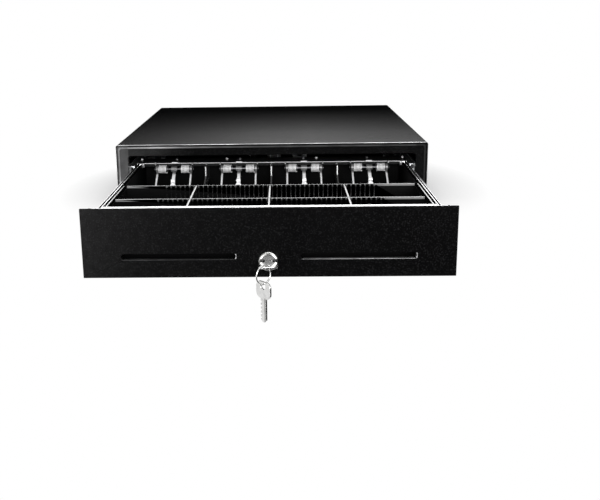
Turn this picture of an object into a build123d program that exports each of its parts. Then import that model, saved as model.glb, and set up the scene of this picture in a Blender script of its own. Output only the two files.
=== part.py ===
from build123d import *
import math
import os

os.makedirs("parts", exist_ok=True)

# A counter cash drawer, pulled out for use.
# X is to the right, Y to the rear and Z up. The origin is the centre of the case's
# footprint, on the plane that the feet stand on.

# The case
case_width = 410.0
case_depth = 415.0
case_height = 100.0
case_sheet = 1.0
foot_height = 5.0
shell_corner = 4.0
shell_lip = 14.0

# Clearances shared by the pieces
sheet_gap = 0.2
slide_gap = 0.3
pin_gap = 0.05
overrun = 1.0

# The opening in the front frame, inside bands at its sides and its top
opening_side_band = 15.5
opening_top_band = 15.0
opening_floor = 9.0
opening_corner = 4.0
opening_width = case_width - 2 * opening_side_band

# The drawer's front
fascia_side_gap = 2.5
fascia_width = opening_width - 2 * fascia_side_gap
fascia_height = 72.0
fascia_floor = 10.5
fascia_sheet = 2.0

# The drawer's pan, with room for the slides at its sides and for the latch behind it
slide_room = 25.0
latch_room = 81.0
pan_width = case_width - 2 * slide_room
pan_length = case_depth - latch_room
pan_floor = 12.0
pan_sheet = 1.0
pan_hem = 4.0
rim_height = 71.0

# How far the drawer is pulled out, but for the stretch of the pan that stays in the case
pan_stay = 52.0
open_travel = pan_length - pan_stay

# The trays
tray_wall = 2.0
tray_floor = 22.0
tray_front = 29.0
coin_mid = 91.0
coin_rear = 160.0
tray_rear = pan_length - 2 * tray_wall
note_tray_width = pan_width - 2 * pan_hem - 6 * sheet_gap
bay_pitch = (note_tray_width - 2 * tray_wall - 2 * sheet_gap) / 4

# The clip rail across the rear of the trays
rail_setback = 29.5
rail_front = tray_rear - rail_setback
rail_sheet = 1.0

# The slides
slide_height = 35.0
slide_depth = 9.5
slide_centre = 52.0
outer_slide_room = 65.0
middle_slide_room = 115.0
outer_slide_length = case_depth - outer_slide_room
middle_slide_length = case_depth - middle_slide_room
inner_slide_length = pan_length - 4 * pan_sheet

# The lock and its keys
lock_height = 27.8
bezel_radius = 10.0
key_sheet = 2.0

front_y = -case_depth / 2
rear_y = case_depth / 2
case_bottom = foot_height
base_top = case_bottom + 2 * case_sheet
inner_half = case_width / 2 - case_sheet
fascia_y = front_y - open_travel
pan_y = fascia_y + fascia_sheet
pan_rear_y = pan_y + pan_length


def span(middle, size):
    """The two ends of a size that is centred on a place."""
    return (middle - size / 2, middle + size / 2)


def block(xs, ys, zs, mode=Mode.ADD):
    """A box between two places along each of X, Y and Z, in the part being built."""
    with Locations(((xs[0] + xs[1]) / 2, (ys[0] + ys[1]) / 2, (zs[0] + zs[1]) / 2)):
        Box(xs[1] - xs[0], ys[1] - ys[0], zs[1] - zs[0], mode=mode)


def facing_front(y):
    """A plane across the drawer at a place along Y, seen from the front: X right, Z up."""
    return Plane(origin=(0, y, 0), x_dir=(1, 0, 0), z_dir=(0, -1, 0))


def facing_side(x):
    """A plane along the drawer at a place along X: Y to the rear, Z up."""
    return Plane(origin=(x, 0, 0), x_dir=(0, 1, 0), z_dir=(1, 0, 0))


def keep(piece, name):
    """Names a finished piece and writes it to its own file."""
    piece.label = name
    export_step(piece, f"parts/{name}.step")


# Case shell: one sheet folded into the top and both sides, with lips under the base
with BuildPart() as case_shell:
    with BuildSketch(facing_front(rear_y)):
        with Locations((0, (case_bottom + case_height) / 2)):
            outline = Rectangle(case_width, case_height - case_bottom)
        fillet(outline.vertices().group_by(Axis.Y)[-1], radius=shell_corner)
    extrude(amount=case_depth)
    with BuildSketch(facing_front(rear_y + overrun)):
        with Locations((0, (case_bottom + case_height) / 2)):
            hollow = Rectangle(2 * inner_half, case_height - case_bottom - 2 * case_sheet)
        fillet(hollow.vertices().group_by(Axis.Y)[-1], radius=shell_corner - case_sheet)
    extrude(amount=case_depth + 2 * overrun, mode=Mode.SUBTRACT)
    block(
        span(0, 2 * (inner_half - shell_lip)),
        span(0, case_depth + 2 * overrun),
        (case_bottom - overrun, case_bottom + case_sheet + overrun),
        mode=Mode.SUBTRACT,
    )
case_shell.part.label = "case_shell"
export_step(case_shell.part, "parts/case_shell.step")

# Front frame: a ring round the opening, with a raised bead and an edge turned inwards
frame_sheet = 1.2
frame_recess = 1.6
bead_inset = 1.8
bead_width = 2.2
bead_height = 0.9
frame_return = 8.0
opening_top = case_height - opening_top_band
frame_front_y = front_y + frame_recess
frame_base = case_bottom + case_sheet + sheet_gap
frame_top = case_height - case_sheet - sheet_gap
frame_half = inner_half - sheet_gap
frame_middle = (frame_base + frame_top) / 2
opening_middle = (opening_floor + opening_top) / 2
with BuildPart() as front_frame:
    with BuildSketch(facing_front(frame_front_y)):
        with Locations((0, frame_middle)):
            RectangleRounded(2 * frame_half, frame_top - frame_base, shell_corner - case_sheet)
        with Locations((0, opening_middle)):
            RectangleRounded(
                opening_width, opening_top - opening_floor, opening_corner, mode=Mode.SUBTRACT
            )
    extrude(amount=-frame_sheet)
    # the edge turned in round the opening
    with BuildSketch(facing_front(frame_front_y + frame_sheet)):
        with Locations((0, opening_middle)):
            RectangleRounded(
                opening_width + 2 * frame_sheet,
                opening_top - opening_floor + 2 * frame_sheet,
                opening_corner + frame_sheet,
            )
            RectangleRounded(
                opening_width, opening_top - opening_floor, opening_corner, mode=Mode.SUBTRACT
            )
    extrude(amount=-frame_return)
    # the bead, which stands proud along the top and the sides
    with BuildSketch(facing_front(frame_front_y)):
        with Locations((0, frame_middle)):
            RectangleRounded(
                2 * (frame_half - bead_inset),
                frame_top - frame_base - 2 * bead_inset,
                shell_corner - case_sheet,
            )
            RectangleRounded(
                2 * (frame_half - bead_inset - bead_width),
                frame_top - frame_base - 2 * (bead_inset + bead_width),
                shell_corner - case_sheet,
                mode=Mode.SUBTRACT,
            )
        with Locations((0, opening_floor)):
            Rectangle(case_width, 4 * bead_width, mode=Mode.SUBTRACT)
    extrude(amount=bead_height)
front_frame.part.label = "front_frame"
export_step(front_frame.part, "parts/front_frame.step")

# Base plate: the floor of the case, on the shell's lips
base_front_y = frame_front_y + frame_sheet + frame_return + sheet_gap
rear_sheet_y = rear_y - case_sheet
catch_width = 16.0
catch_height = 4.5
cam_sheet = 2.0
cam_setback = 20.0
lock_catch_y = front_y + cam_setback - cam_sheet
with BuildPart() as base_plate:
    block(
        span(0, 2 * (inner_half - sheet_gap)),
        (base_front_y, rear_sheet_y - sheet_gap),
        (case_bottom + case_sheet, base_top),
    )
    # two long stiffening ribs
    for side in (-1, 1):
        block(
            span(side * pan_width / 4, 3 * bead_width),
            span(0, case_depth - 8 * shell_lip),
            (base_top, base_top + bead_height),
        )
    # the catch that the turned lock hooks behind
    block(
        span(0, catch_width),
        (lock_catch_y - 2 * cam_sheet, lock_catch_y - cam_sheet),
        (base_top, base_top + catch_height),
    )
base_plate.part.label = "base_plate"
export_step(base_plate.part, "parts/base_plate.step")

# Rear panel: a sheet with turned-in edges and a window for the socket
socket_width = 16.0
socket_height = 14.0
socket_depth = 16.0
socket_x = 120.0
socket_z = 36.0
rear_return = 10.0
with BuildPart() as rear_panel:
    block(
        span(0, 2 * (inner_half - sheet_gap)),
        (rear_sheet_y, rear_y),
        (base_top + sheet_gap, case_height - case_sheet - sheet_gap),
    )
    block(
        span(0, 2 * (inner_half - sheet_gap - shell_corner)),
        (rear_sheet_y - rear_return, rear_sheet_y),
        (case_height - 2 * case_sheet - sheet_gap, case_height - case_sheet - sheet_gap),
    )
    for side in (-1, 1):
        edge = side * (inner_half - sheet_gap - case_sheet / 2)
        block(
            span(edge, case_sheet),
            (rear_sheet_y - rear_return, rear_sheet_y),
            (base_top + sheet_gap, case_height - case_sheet - 2 * shell_corner),
        )
    with BuildSketch(facing_front(rear_y + overrun)):
        with Locations((socket_x, socket_z)):
            Rectangle(socket_width, socket_height)
    extrude(amount=case_sheet + 2 * overrun, mode=Mode.SUBTRACT)
    # the corners follow the shell's rounded inside
    top_edges = rear_panel.edges().filter_by(Axis.Y).group_by(Axis.Z)[-1]
    fillet(top_edges.sort_by(Axis.X)[0], radius=shell_corner - case_sheet)
    top_edges = rear_panel.edges().filter_by(Axis.Y).group_by(Axis.Z)[-1]
    fillet(top_edges.sort_by(Axis.X)[-1], radius=shell_corner - case_sheet)
rear_panel.part.label = "rear_panel"
export_step(rear_panel.part, "parts/rear_panel.step")

# Cable socket: a square jack behind the rear panel, open to the rear
jack_wall = 1.6
jack_width = 11.8
jack_height = 8.6
with BuildPart() as cable_socket:
    block(
        span(socket_x, socket_width - 2 * sheet_gap),
        (rear_y - socket_depth, rear_y),
        span(socket_z, socket_height - 2 * sheet_gap),
    )
    block(
        span(socket_x, socket_width + 2 * jack_wall),
        (rear_sheet_y - sheet_gap - jack_wall, rear_sheet_y - sheet_gap),
        span(socket_z, socket_height + 2 * jack_wall),
    )
    block(
        span(socket_x, jack_width),
        (rear_y - socket_depth + 2 * jack_wall, rear_y + overrun),
        span(socket_z, jack_height),
        mode=Mode.SUBTRACT,
    )
    # the notch for the plug's clip
    block(
        span(socket_x, jack_width / 3),
        (rear_y - socket_depth / 2, rear_y + overrun),
        (socket_z - jack_height / 2 - jack_wall, socket_z),
        mode=Mode.SUBTRACT,
    )
cable_socket.part.label = "cable_socket"
export_step(cable_socket.part, "parts/cable_socket.step")

# Rubber feet: four flat rubber feet under the base
foot_radius = 10.0
foot_inset = 30.0
foot_dish_radius = 4.0
foot_dish_depth = 2.0
foot_top = case_bottom + case_sheet
foot_places = GridLocations(
    case_width - 2 * foot_inset, case_depth - 2 * foot_inset, 2, 2
)
with BuildPart() as rubber_feet:
    with BuildSketch(Plane.XY):
        with foot_places:
            Circle(foot_radius)
    extrude(amount=foot_top, taper=-foot_height / 2)
    with BuildSketch(Plane.XY):
        with foot_places:
            Circle(foot_dish_radius)
    extrude(amount=foot_dish_depth, mode=Mode.SUBTRACT)
rubber_feet.part.label = "rubber_feet"
export_step(rubber_feet.part, "parts/rubber_feet.step")

# Case screws: pan heads on the outside of the rear panel, with their shanks inside
screw_head_radius = 2.8
screw_head_height = 1.8
slot_depth = 0.8
slot_width = 0.9
cross_length = 3.4
rear_screw_places = [
    (side * (inner_half - rear_return), height)
    for side in (-1, 1)
    for height in (base_top + rear_return, case_height - 2 * rear_return)
]
with BuildPart() as case_screws:
    with BuildSketch(facing_front(rear_y)):
        with Locations(*rear_screw_places):
            Circle(screw_head_radius)
    extrude(amount=-screw_head_height)
    with BuildSketch(facing_front(rear_y + screw_head_height)):
        with Locations(*rear_screw_places):
            Rectangle(cross_length, slot_width)
            Rectangle(slot_width, cross_length)
    extrude(amount=slot_depth, mode=Mode.SUBTRACT)
case_screws.part.label = "case_screws"
export_step(case_screws.part, "parts/case_screws.step")

# Slide brackets: an angle that stands on the base plate and carries a slide
bracket_sheet = 1.2
bracket_foot = 12.0
slide_mount_x = pan_width / 2 + slide_gap + slide_depth
bracket_front_y = base_front_y + slide_gap
bracket_rear_y = bracket_front_y + outer_slide_length
bracket_screw_share = (0.1, 0.5, 0.9)
with BuildPart() as right_slide_bracket:
    block(
        (slide_mount_x, slide_mount_x + bracket_sheet),
        (bracket_front_y, bracket_rear_y),
        (base_top, slide_centre + slide_height / 2 + bracket_sheet),
    )
    block(
        (slide_mount_x, slide_mount_x + bracket_foot),
        (bracket_front_y, bracket_rear_y),
        (base_top, base_top + bracket_sheet),
    )
right_slide_bracket.part.label = "right_slide_bracket"
export_step(right_slide_bracket.part, "parts/right_slide_bracket.step")
with BuildPart() as left_slide_bracket:
    mirror(right_slide_bracket.part, about=Plane.YZ)
left_slide_bracket.part.label = "left_slide_bracket"
export_step(left_slide_bracket.part, "parts/left_slide_bracket.step")

bracket_screw_places = [
    (
        side * (slide_mount_x + bracket_foot / 2 + bracket_sheet),
        bracket_front_y + share * outer_slide_length,
    )
    for side in (-1, 1)
    for share in bracket_screw_share
]
with BuildPart() as bracket_screws:
    with BuildSketch(Plane.XY.offset(base_top + bracket_sheet)):
        with Locations(*bracket_screw_places):
            Circle(screw_head_radius)
    extrude(amount=screw_head_height)
bracket_screws.part.label = "bracket_screws"
export_step(bracket_screws.part, "parts/bracket_screws.step")

# Slides: three members that telescope. Depths are counted from the pan's side wall.
slide_sheet = 1.2
outer_flange_lip = 1.8
outer_open_depth = 3.0
middle_half = 12.7
middle_web_depth = 5.0
middle_open_depth = 2.2
inner_half_height = 7.8
inner_flange_depth = 3.8
# how far the middle member stands behind the case's front, with the drawer shut
middle_setback = 35.0
inner_setback = 3.0
pan_side = pan_width / 2
outer_front_y = bracket_front_y
middle_front_y = front_y + middle_setback - open_travel / 2
inner_front_y = pan_y + inner_setback
slide_half = slide_height / 2


def slide_section(y, profile):
    """A member's section across the right-hand slide, mirrored above and below its middle."""
    with BuildSketch(facing_front(y)) as section:
        for x0, x1, z0, z1 in profile:
            for side in (-1, 1):
                with Locations(
                    (pan_side + (x0 + x1) / 2, slide_centre + side * (z0 + z1) / 2)
                ):
                    Rectangle(x1 - x0, z1 - z0)
    return section.sketch


outer_profile = [
    (slide_depth + slide_gap - slide_sheet, slide_depth + slide_gap, 0, slide_half),
    (outer_open_depth, slide_depth + slide_gap, slide_half - slide_sheet, slide_half),
    (
        outer_open_depth,
        outer_open_depth + slide_sheet,
        slide_half - outer_flange_lip - slide_sheet,
        slide_half,
    ),
]
middle_profile = [
    (middle_web_depth, middle_web_depth + slide_sheet, 0, middle_half),
    (middle_open_depth, middle_web_depth + slide_sheet, middle_half - slide_sheet, middle_half),
]
inner_profile = [
    (0, slide_sheet, 0, inner_half_height),
    (0, inner_flange_depth, inner_half_height - slide_sheet, inner_half_height),
]
with BuildPart() as right_slide_outer:
    extrude(slide_section(outer_front_y, outer_profile), amount=-outer_slide_length)
right_slide_outer.part.label = "right_slide_outer"
export_step(right_slide_outer.part, "parts/right_slide_outer.step")
with BuildPart() as right_slide_middle:
    extrude(slide_section(middle_front_y, middle_profile), amount=-middle_slide_length)
right_slide_middle.part.label = "right_slide_middle"
export_step(right_slide_middle.part, "parts/right_slide_middle.step")
with BuildPart() as right_slide_inner:
    extrude(slide_section(inner_front_y, inner_profile), amount=-inner_slide_length)
right_slide_inner.part.label = "right_slide_inner"
export_step(right_slide_inner.part, "parts/right_slide_inner.step")

# Ball cages: between each two members, a strip with balls above and below
cage_sheet = 0.6
ball_count = 5
ball_pitch = 14.0
ball_radius = 1.4
ball_pocket_gap = 0.1
cage_tab_half = 0.35
outer_ball_height = (slide_half - slide_sheet + middle_half) / 2
inner_ball_height = (middle_half - slide_sheet + inner_half_height) / 2
cage_length = ball_count * ball_pitch
# where each cage's middle lies with the drawer pulled out
outer_cage_y = front_y + case_depth / 8
inner_cage_y = middle_front_y + cage_length
outer_tab_depth = 4.5
outer_ball_depth = 5.9
outer_cage_depth = 7.7
inner_tab_depth = 1.0
inner_ball_depth = 2.9
inner_cage_depth = 4.1
cage_table = (
    (
        "outer",
        outer_cage_y,
        outer_ball_height,
        outer_tab_depth,
        outer_ball_depth,
        outer_cage_depth,
    ),
    (
        "inner",
        inner_cage_y,
        inner_ball_height,
        inner_tab_depth,
        inner_ball_depth,
        inner_cage_depth,
    ),
)
for cage_name, cage_y, ball_height, tab_depth, ball_depth, web_depth in cage_table:
    with BuildPart() as right_cage:
        block(
            (pan_side + web_depth, pan_side + web_depth + cage_sheet),
            span(cage_y, cage_length),
            span(slide_centre, 2 * (ball_height + cage_tab_half)),
        )
        for side in (-1, 1):
            block(
                (pan_side + tab_depth, pan_side + web_depth + cage_sheet),
                span(cage_y, cage_length),
                span(slide_centre + side * ball_height, 2 * cage_tab_half),
            )
            with Locations((pan_side + ball_depth, cage_y, slide_centre + side * ball_height)):
                with GridLocations(ball_pitch, ball_pitch, 1, ball_count):
                    Cylinder(
                        ball_radius + ball_pocket_gap, 2 * ball_radius, mode=Mode.SUBTRACT
                    )
        for side in (-1, 1):
            with Locations((pan_side + ball_depth, cage_y, slide_centre + side * ball_height)):
                with GridLocations(ball_pitch, ball_pitch, 1, ball_count):
                    Sphere(ball_radius)
    keep(right_cage.part, f"right_{cage_name}_cage")
    with BuildPart() as left_cage:
        mirror(right_cage.part, about=Plane.YZ)
    keep(left_cage.part, f"left_{cage_name}_cage")

with BuildPart() as left_slide_outer:
    mirror(right_slide_outer.part, about=Plane.YZ)
left_slide_outer.part.label = "left_slide_outer"
export_step(left_slide_outer.part, "parts/left_slide_outer.step")
with BuildPart() as left_slide_middle:
    mirror(right_slide_middle.part, about=Plane.YZ)
left_slide_middle.part.label = "left_slide_middle"
export_step(left_slide_middle.part, "parts/left_slide_middle.step")
with BuildPart() as left_slide_inner:
    mirror(right_slide_inner.part, about=Plane.YZ)
left_slide_inner.part.label = "left_slide_inner"
export_step(left_slide_inner.part, "parts/left_slide_inner.step")

# Drawer pan: a folded sheet pan with hemmed sides and a high front with a bright flange
front_flange_depth = 11.0
front_flange_inset = 13.0
front_flange_width = pan_width - 2 * front_flange_inset
pan_front_top = fascia_floor + fascia_height - pan_sheet
hem_turn = 3.0
paper_slot_length = 115.0
paper_slot_height = 6.0
paper_slot_x = pan_width / 4
paper_slot_z = 32.5
lock_body_radius = 9.0
cam_width = 9.0
cam_reach = 19.3
cam_slot_reach = 16.0
cam_slot_gap = 1.2
cam_front_y = fascia_y + cam_setback - cam_sheet
with BuildPart() as drawer_pan:
    block(
        span(0, pan_width),
        (pan_y, pan_rear_y),
        (pan_floor, pan_floor + pan_sheet),
    )
    for side in (-1, 1):
        block(
            span(side * (pan_side - pan_sheet / 2), pan_sheet),
            (pan_y, pan_rear_y),
            (pan_floor, rim_height),
        )
        block(
            span(side * (pan_side - pan_hem / 2), pan_hem),
            (pan_y, pan_rear_y),
            (rim_height - pan_sheet, rim_height),
        )
        block(
            span(side * (pan_side - pan_hem + pan_sheet / 2), pan_sheet),
            (pan_y, pan_rear_y),
            (rim_height - hem_turn, rim_height),
        )
    block(
        span(0, pan_width),
        (pan_rear_y - pan_sheet, pan_rear_y),
        (pan_floor, rim_height),
    )
    # the front wall, taller than the sides, and its flange
    block(span(0, pan_width), (pan_y, pan_y + pan_sheet), (pan_floor, pan_front_top))
    block(
        span(0, front_flange_width),
        (pan_y, pan_y + front_flange_depth),
        (pan_front_top - pan_sheet, pan_front_top),
    )
    block(
        span(0, pan_width),
        (pan_y, pan_y + front_flange_depth / 2),
        (pan_front_top - pan_sheet, pan_front_top),
    )
    # windows for the two paper slots and the lock
    with BuildSketch(facing_front(pan_y + pan_sheet + overrun)):
        for side in (-1, 1):
            with Locations((side * paper_slot_x, paper_slot_z)):
                SlotOverall(
                    paper_slot_length + 2 * fascia_sheet + 2 * sheet_gap,
                    paper_slot_height + 2 * fascia_sheet + 2 * sheet_gap,
                )
        with Locations((0, lock_height)):
            Circle(lock_body_radius + sheet_gap)
    extrude(amount=pan_sheet + 2 * overrun, mode=Mode.SUBTRACT)
    # the slot in the floor that the lock's cam turns down through
    block(
        (-cam_width / 2 - cam_slot_gap, cam_slot_reach),
        (cam_front_y - cam_slot_gap, cam_front_y + 2 * cam_sheet + cam_slot_gap),
        (pan_floor - overrun, pan_floor + pan_sheet + overrun),
        mode=Mode.SUBTRACT,
    )
drawer_pan.part.label = "drawer_pan"
export_step(drawer_pan.part, "parts/drawer_pan.step")

# Fascia: the drawer's front plate, turned back along three edges, with two paper slots
fascia_return = 8.0
fascia_edge = 1.0
slot_lip_sheet = 1.2
slot_lip_depth = 5.0
fascia_top = fascia_floor + fascia_height
fascia_middle = fascia_floor + fascia_height / 2
lock_hole_radius = lock_body_radius + sheet_gap
with BuildPart() as fascia:
    with BuildSketch(facing_front(fascia_y + fascia_sheet)):
        with Locations((0, fascia_middle)):
            Rectangle(fascia_width, fascia_height)
    extrude(amount=fascia_sheet)
    front_edges = fascia.faces().sort_by(Axis.Y)[0].edges()
    fillet(front_edges, radius=fascia_edge)
    for side in (-1, 1):
        block(
            span(side * (fascia_width / 2 - frame_sheet / 2), frame_sheet),
            (fascia_y + fascia_sheet, fascia_y + fascia_return),
            (fascia_floor, fascia_top - fascia_sheet),
        )
    block(
        span(0, fascia_width),
        (fascia_y + fascia_sheet, fascia_y + fascia_return),
        (fascia_floor, fascia_floor + frame_sheet),
    )
    # each paper slot has a formed lip behind the plate
    with BuildSketch(facing_front(fascia_y + fascia_sheet)):
        for side in (-1, 1):
            with Locations((side * paper_slot_x, paper_slot_z)):
                SlotOverall(
                    paper_slot_length + 2 * slot_lip_sheet,
                    paper_slot_height + 2 * slot_lip_sheet,
                )
    extrude(amount=-(slot_lip_depth - fascia_sheet))
    with BuildSketch(facing_front(fascia_y + slot_lip_depth + overrun)):
        for side in (-1, 1):
            with Locations((side * paper_slot_x, paper_slot_z)):
                SlotOverall(paper_slot_length, paper_slot_height)
        with Locations((0, lock_height)):
            Circle(lock_hole_radius)
    extrude(amount=slot_lip_depth + 2 * overrun, mode=Mode.SUBTRACT)
fascia.part.label = "fascia"
export_step(fascia.part, "parts/fascia.step")

# Fascia screws: put in from inside the pan, heads towards the rear
fascia_screw_share = (-0.46, -0.16, 0.16, 0.46)
fascia_screw_places = [
    (share * pan_width, rim_height - hem_turn - screw_head_radius * 3)
    for share in fascia_screw_share
]
with BuildPart() as fascia_screws:
    with BuildSketch(facing_front(pan_y + pan_sheet)):
        with Locations(*fascia_screw_places):
            Circle(screw_head_radius)
    extrude(amount=-screw_head_height)
fascia_screws.part.label = "fascia_screws"
export_step(fascia_screws.part, "parts/fascia_screws.step")

# Striker: a staple on the back of the pan, which the latch's hook holds
striker_z = 36.0
striker_half = 10.0
striker_bar_radius = 2.5
striker_bar_reach = 10.0
with BuildPart() as striker:
    block(
        span(0, 2 * striker_half),
        (pan_rear_y, pan_rear_y + 2 * pan_sheet),
        span(striker_z, 6 * striker_bar_radius),
    )
    for side in (-1, 1):
        block(
            span(side * (striker_half - pan_sheet), 2 * pan_sheet),
            (pan_rear_y, pan_rear_y + striker_bar_reach + striker_bar_radius),
            span(striker_z, 4 * striker_bar_radius),
        )
    with BuildSketch(facing_side(-striker_half + pan_sheet)):
        with Locations((pan_rear_y + striker_bar_reach, striker_z)):
            Circle(striker_bar_radius)
    extrude(amount=2 * (striker_half - pan_sheet))
striker.part.label = "striker"
export_step(striker.part, "parts/striker.step")

# Lock body: a threaded barrel through the fascia, with a bright bezel in front
bezel_depth = 3.0
bezel_edge = 1.2
plug_radius = 6.8
lock_body_length = cam_front_y - fascia_y
nut_radius = 11.5
nut_thickness = 4.0
lock_axis = Plane(origin=(0, fascia_y, lock_height), x_dir=(1, 0, 0), z_dir=(0, -1, 0))
with BuildPart() as lock_body:
    with BuildSketch(lock_axis):
        Circle(bezel_radius)
    extrude(amount=bezel_depth)
    fillet(lock_body.faces().sort_by(Axis.Y)[0].edges(), radius=bezel_edge)
    with BuildSketch(lock_axis):
        Circle(lock_body_radius)
    extrude(amount=-lock_body_length)
    with BuildSketch(lock_axis.offset(-lock_body_length - overrun)):
        Circle(plug_radius)
    extrude(amount=lock_body_length + bezel_depth + 2 * overrun, mode=Mode.SUBTRACT)
lock_body.part.label = "lock_body"
export_step(lock_body.part, "parts/lock_body.step")

# Lock nut: a thin hexagon nut that pulls the lock against the pan's front wall
with BuildPart() as lock_nut:
    with BuildSketch(facing_front(pan_y + pan_sheet)):
        with Locations((0, lock_height)):
            RegularPolygon(nut_radius, 6)
            Circle(lock_body_radius + pin_gap, mode=Mode.SUBTRACT)
    extrude(amount=-nut_thickness)
lock_nut.part.label = "lock_nut"
export_step(lock_nut.part, "parts/lock_nut.step")

# Lock plug: the part that turns, with a slot across its face for the key
keyway_width = 11.0
keyway_height = key_sheet + 4 * pin_gap
keyway_depth = 17.6
plug_recess = 0.4
with BuildPart() as lock_plug:
    with BuildSketch(lock_axis.offset(bezel_depth - plug_recess)):
        Circle(plug_radius - pin_gap)
    extrude(amount=-(lock_body_length + bezel_depth - plug_recess))
    with BuildSketch(lock_axis.offset(bezel_depth + overrun)):
        Rectangle(keyway_width, keyway_height)
    extrude(amount=-(bezel_depth + overrun + keyway_depth), mode=Mode.SUBTRACT)
lock_plug.part.label = "lock_plug"
export_step(lock_plug.part, "parts/lock_plug.step")

# Lock cam: a flat finger on the back of the plug, held by a screw
with BuildPart() as lock_cam:
    with BuildSketch(facing_front(cam_front_y)):
        with Locations((cam_reach / 2, lock_height)):
            Rectangle(cam_reach, cam_width)
        with Locations((0, lock_height)):
            Circle(plug_radius - pin_gap)
    extrude(amount=-cam_sheet)
lock_cam.part.label = "lock_cam"
export_step(lock_cam.part, "parts/lock_cam.step")
with BuildPart() as cam_screw:
    with BuildSketch(facing_front(cam_front_y + cam_sheet)):
        with Locations((0, lock_height)):
            Circle(screw_head_radius)
    extrude(amount=-screw_head_height)
    with BuildSketch(facing_front(cam_front_y + cam_sheet + screw_head_height)):
        with Locations((0, lock_height)):
            Rectangle(2 * screw_head_radius, slot_width)
    extrude(amount=slot_depth, mode=Mode.SUBTRACT)
cam_screw.part.label = "cam_screw"
export_step(cam_screw.part, "parts/cam_screw.step")

# Keys: a flat bow with a hole for the ring, a neck and a cut blade
bow_width = 20.0
bow_length = 17.5
bow_hole_radius = 3.2
bow_margin = 1.6
blade_width = 7.6
blade_length = 24.5
blade_tip = 2.5
bit_depth = 1.2
bit_count = 5
bow_corner = 6.0


def key_outline(plane):
    """A key's flat outline: the bow's hole lies at the plane's origin, the blade along -Y."""
    bow_top = bow_margin + bow_hole_radius
    neck = bow_top - bow_length
    tip = neck - blade_length
    with BuildSketch(plane) as outline:
        with Locations((0, bow_top - bow_length / 2)):
            RectangleRounded(bow_width, bow_length, bow_corner)
        with Locations((0, (neck + tip) / 2 + bow_corner / 2)):
            blade = Rectangle(blade_width, neck - tip + bow_corner)
        chamfer(blade.vertices().group_by(Axis.Y)[0], length=blade_tip)
        Circle(bow_hole_radius, mode=Mode.SUBTRACT)
        # the cuts along one side of the blade
        for number in range(bit_count):
            cut_y = neck - (number + 1) * blade_length / (bit_count + 1)
            cut_size = bit_depth * (1 + number % 2 / 2)
            with Locations((blade_width / 2, cut_y)):
                Rectangle(2 * cut_size, blade_length / (2 * bit_count + 2), mode=Mode.SUBTRACT)
    return outline.sketch


# The key in the lock lies flat in the plug's slot, its bow in front
key_reach = 20.0
bow_hole_y = fascia_y - key_reach
inserted_plane = Plane(
    origin=(0, bow_hole_y, lock_height), x_dir=(1, 0, 0), z_dir=(0, 0, -1)
)
with BuildPart() as inserted_key:
    extrude(key_outline(inserted_plane), amount=key_sheet / 2, both=True)
inserted_key.part.label = "inserted_key"
export_step(inserted_key.part, "parts/inserted_key.step")

# Key ring: goes through the bow of the key in the lock, turned a little from the front
ring_radius = 9.5
ring_wire_radius = 0.75
ring_turn = 45.0
ring_rise = 2.8
ring_shift = (-4.5, -4.75)
ring_along = Vector(math.cos(math.radians(ring_turn)), math.sin(math.radians(ring_turn)), 0)
ring_across = Vector(ring_along.Y, -ring_along.X, 0)
ring_centre = Vector(
    ring_shift[0], bow_hole_y + ring_shift[1], lock_height + ring_rise - ring_radius
)
with BuildPart() as key_ring:
    with BuildSketch(Plane(origin=ring_centre, x_dir=ring_along, z_dir=(0, 0, 1))):
        with Locations((ring_radius, 0)):
            Circle(ring_wire_radius)
    revolve(axis=Axis(ring_centre, ring_across))
key_ring.part.label = "key_ring"
export_step(key_ring.part, "parts/key_ring.step")

# The second key hangs on the ring's lowest place, across the ring, cuts to the left
hang_gap = 0.4
ring_low = ring_centre - Vector(0, 0, ring_radius)
hanging_plane = Plane(
    origin=ring_low - Vector(0, 0, bow_hole_radius - ring_wire_radius - hang_gap),
    x_dir=-ring_across,
    z_dir=ring_along,
)
with BuildPart() as hanging_key:
    extrude(key_outline(hanging_plane), amount=key_sheet / 2, both=True)
hanging_key.part.label = "hanging_key"
export_step(hanging_key.part, "parts/hanging_key.step")

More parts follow.
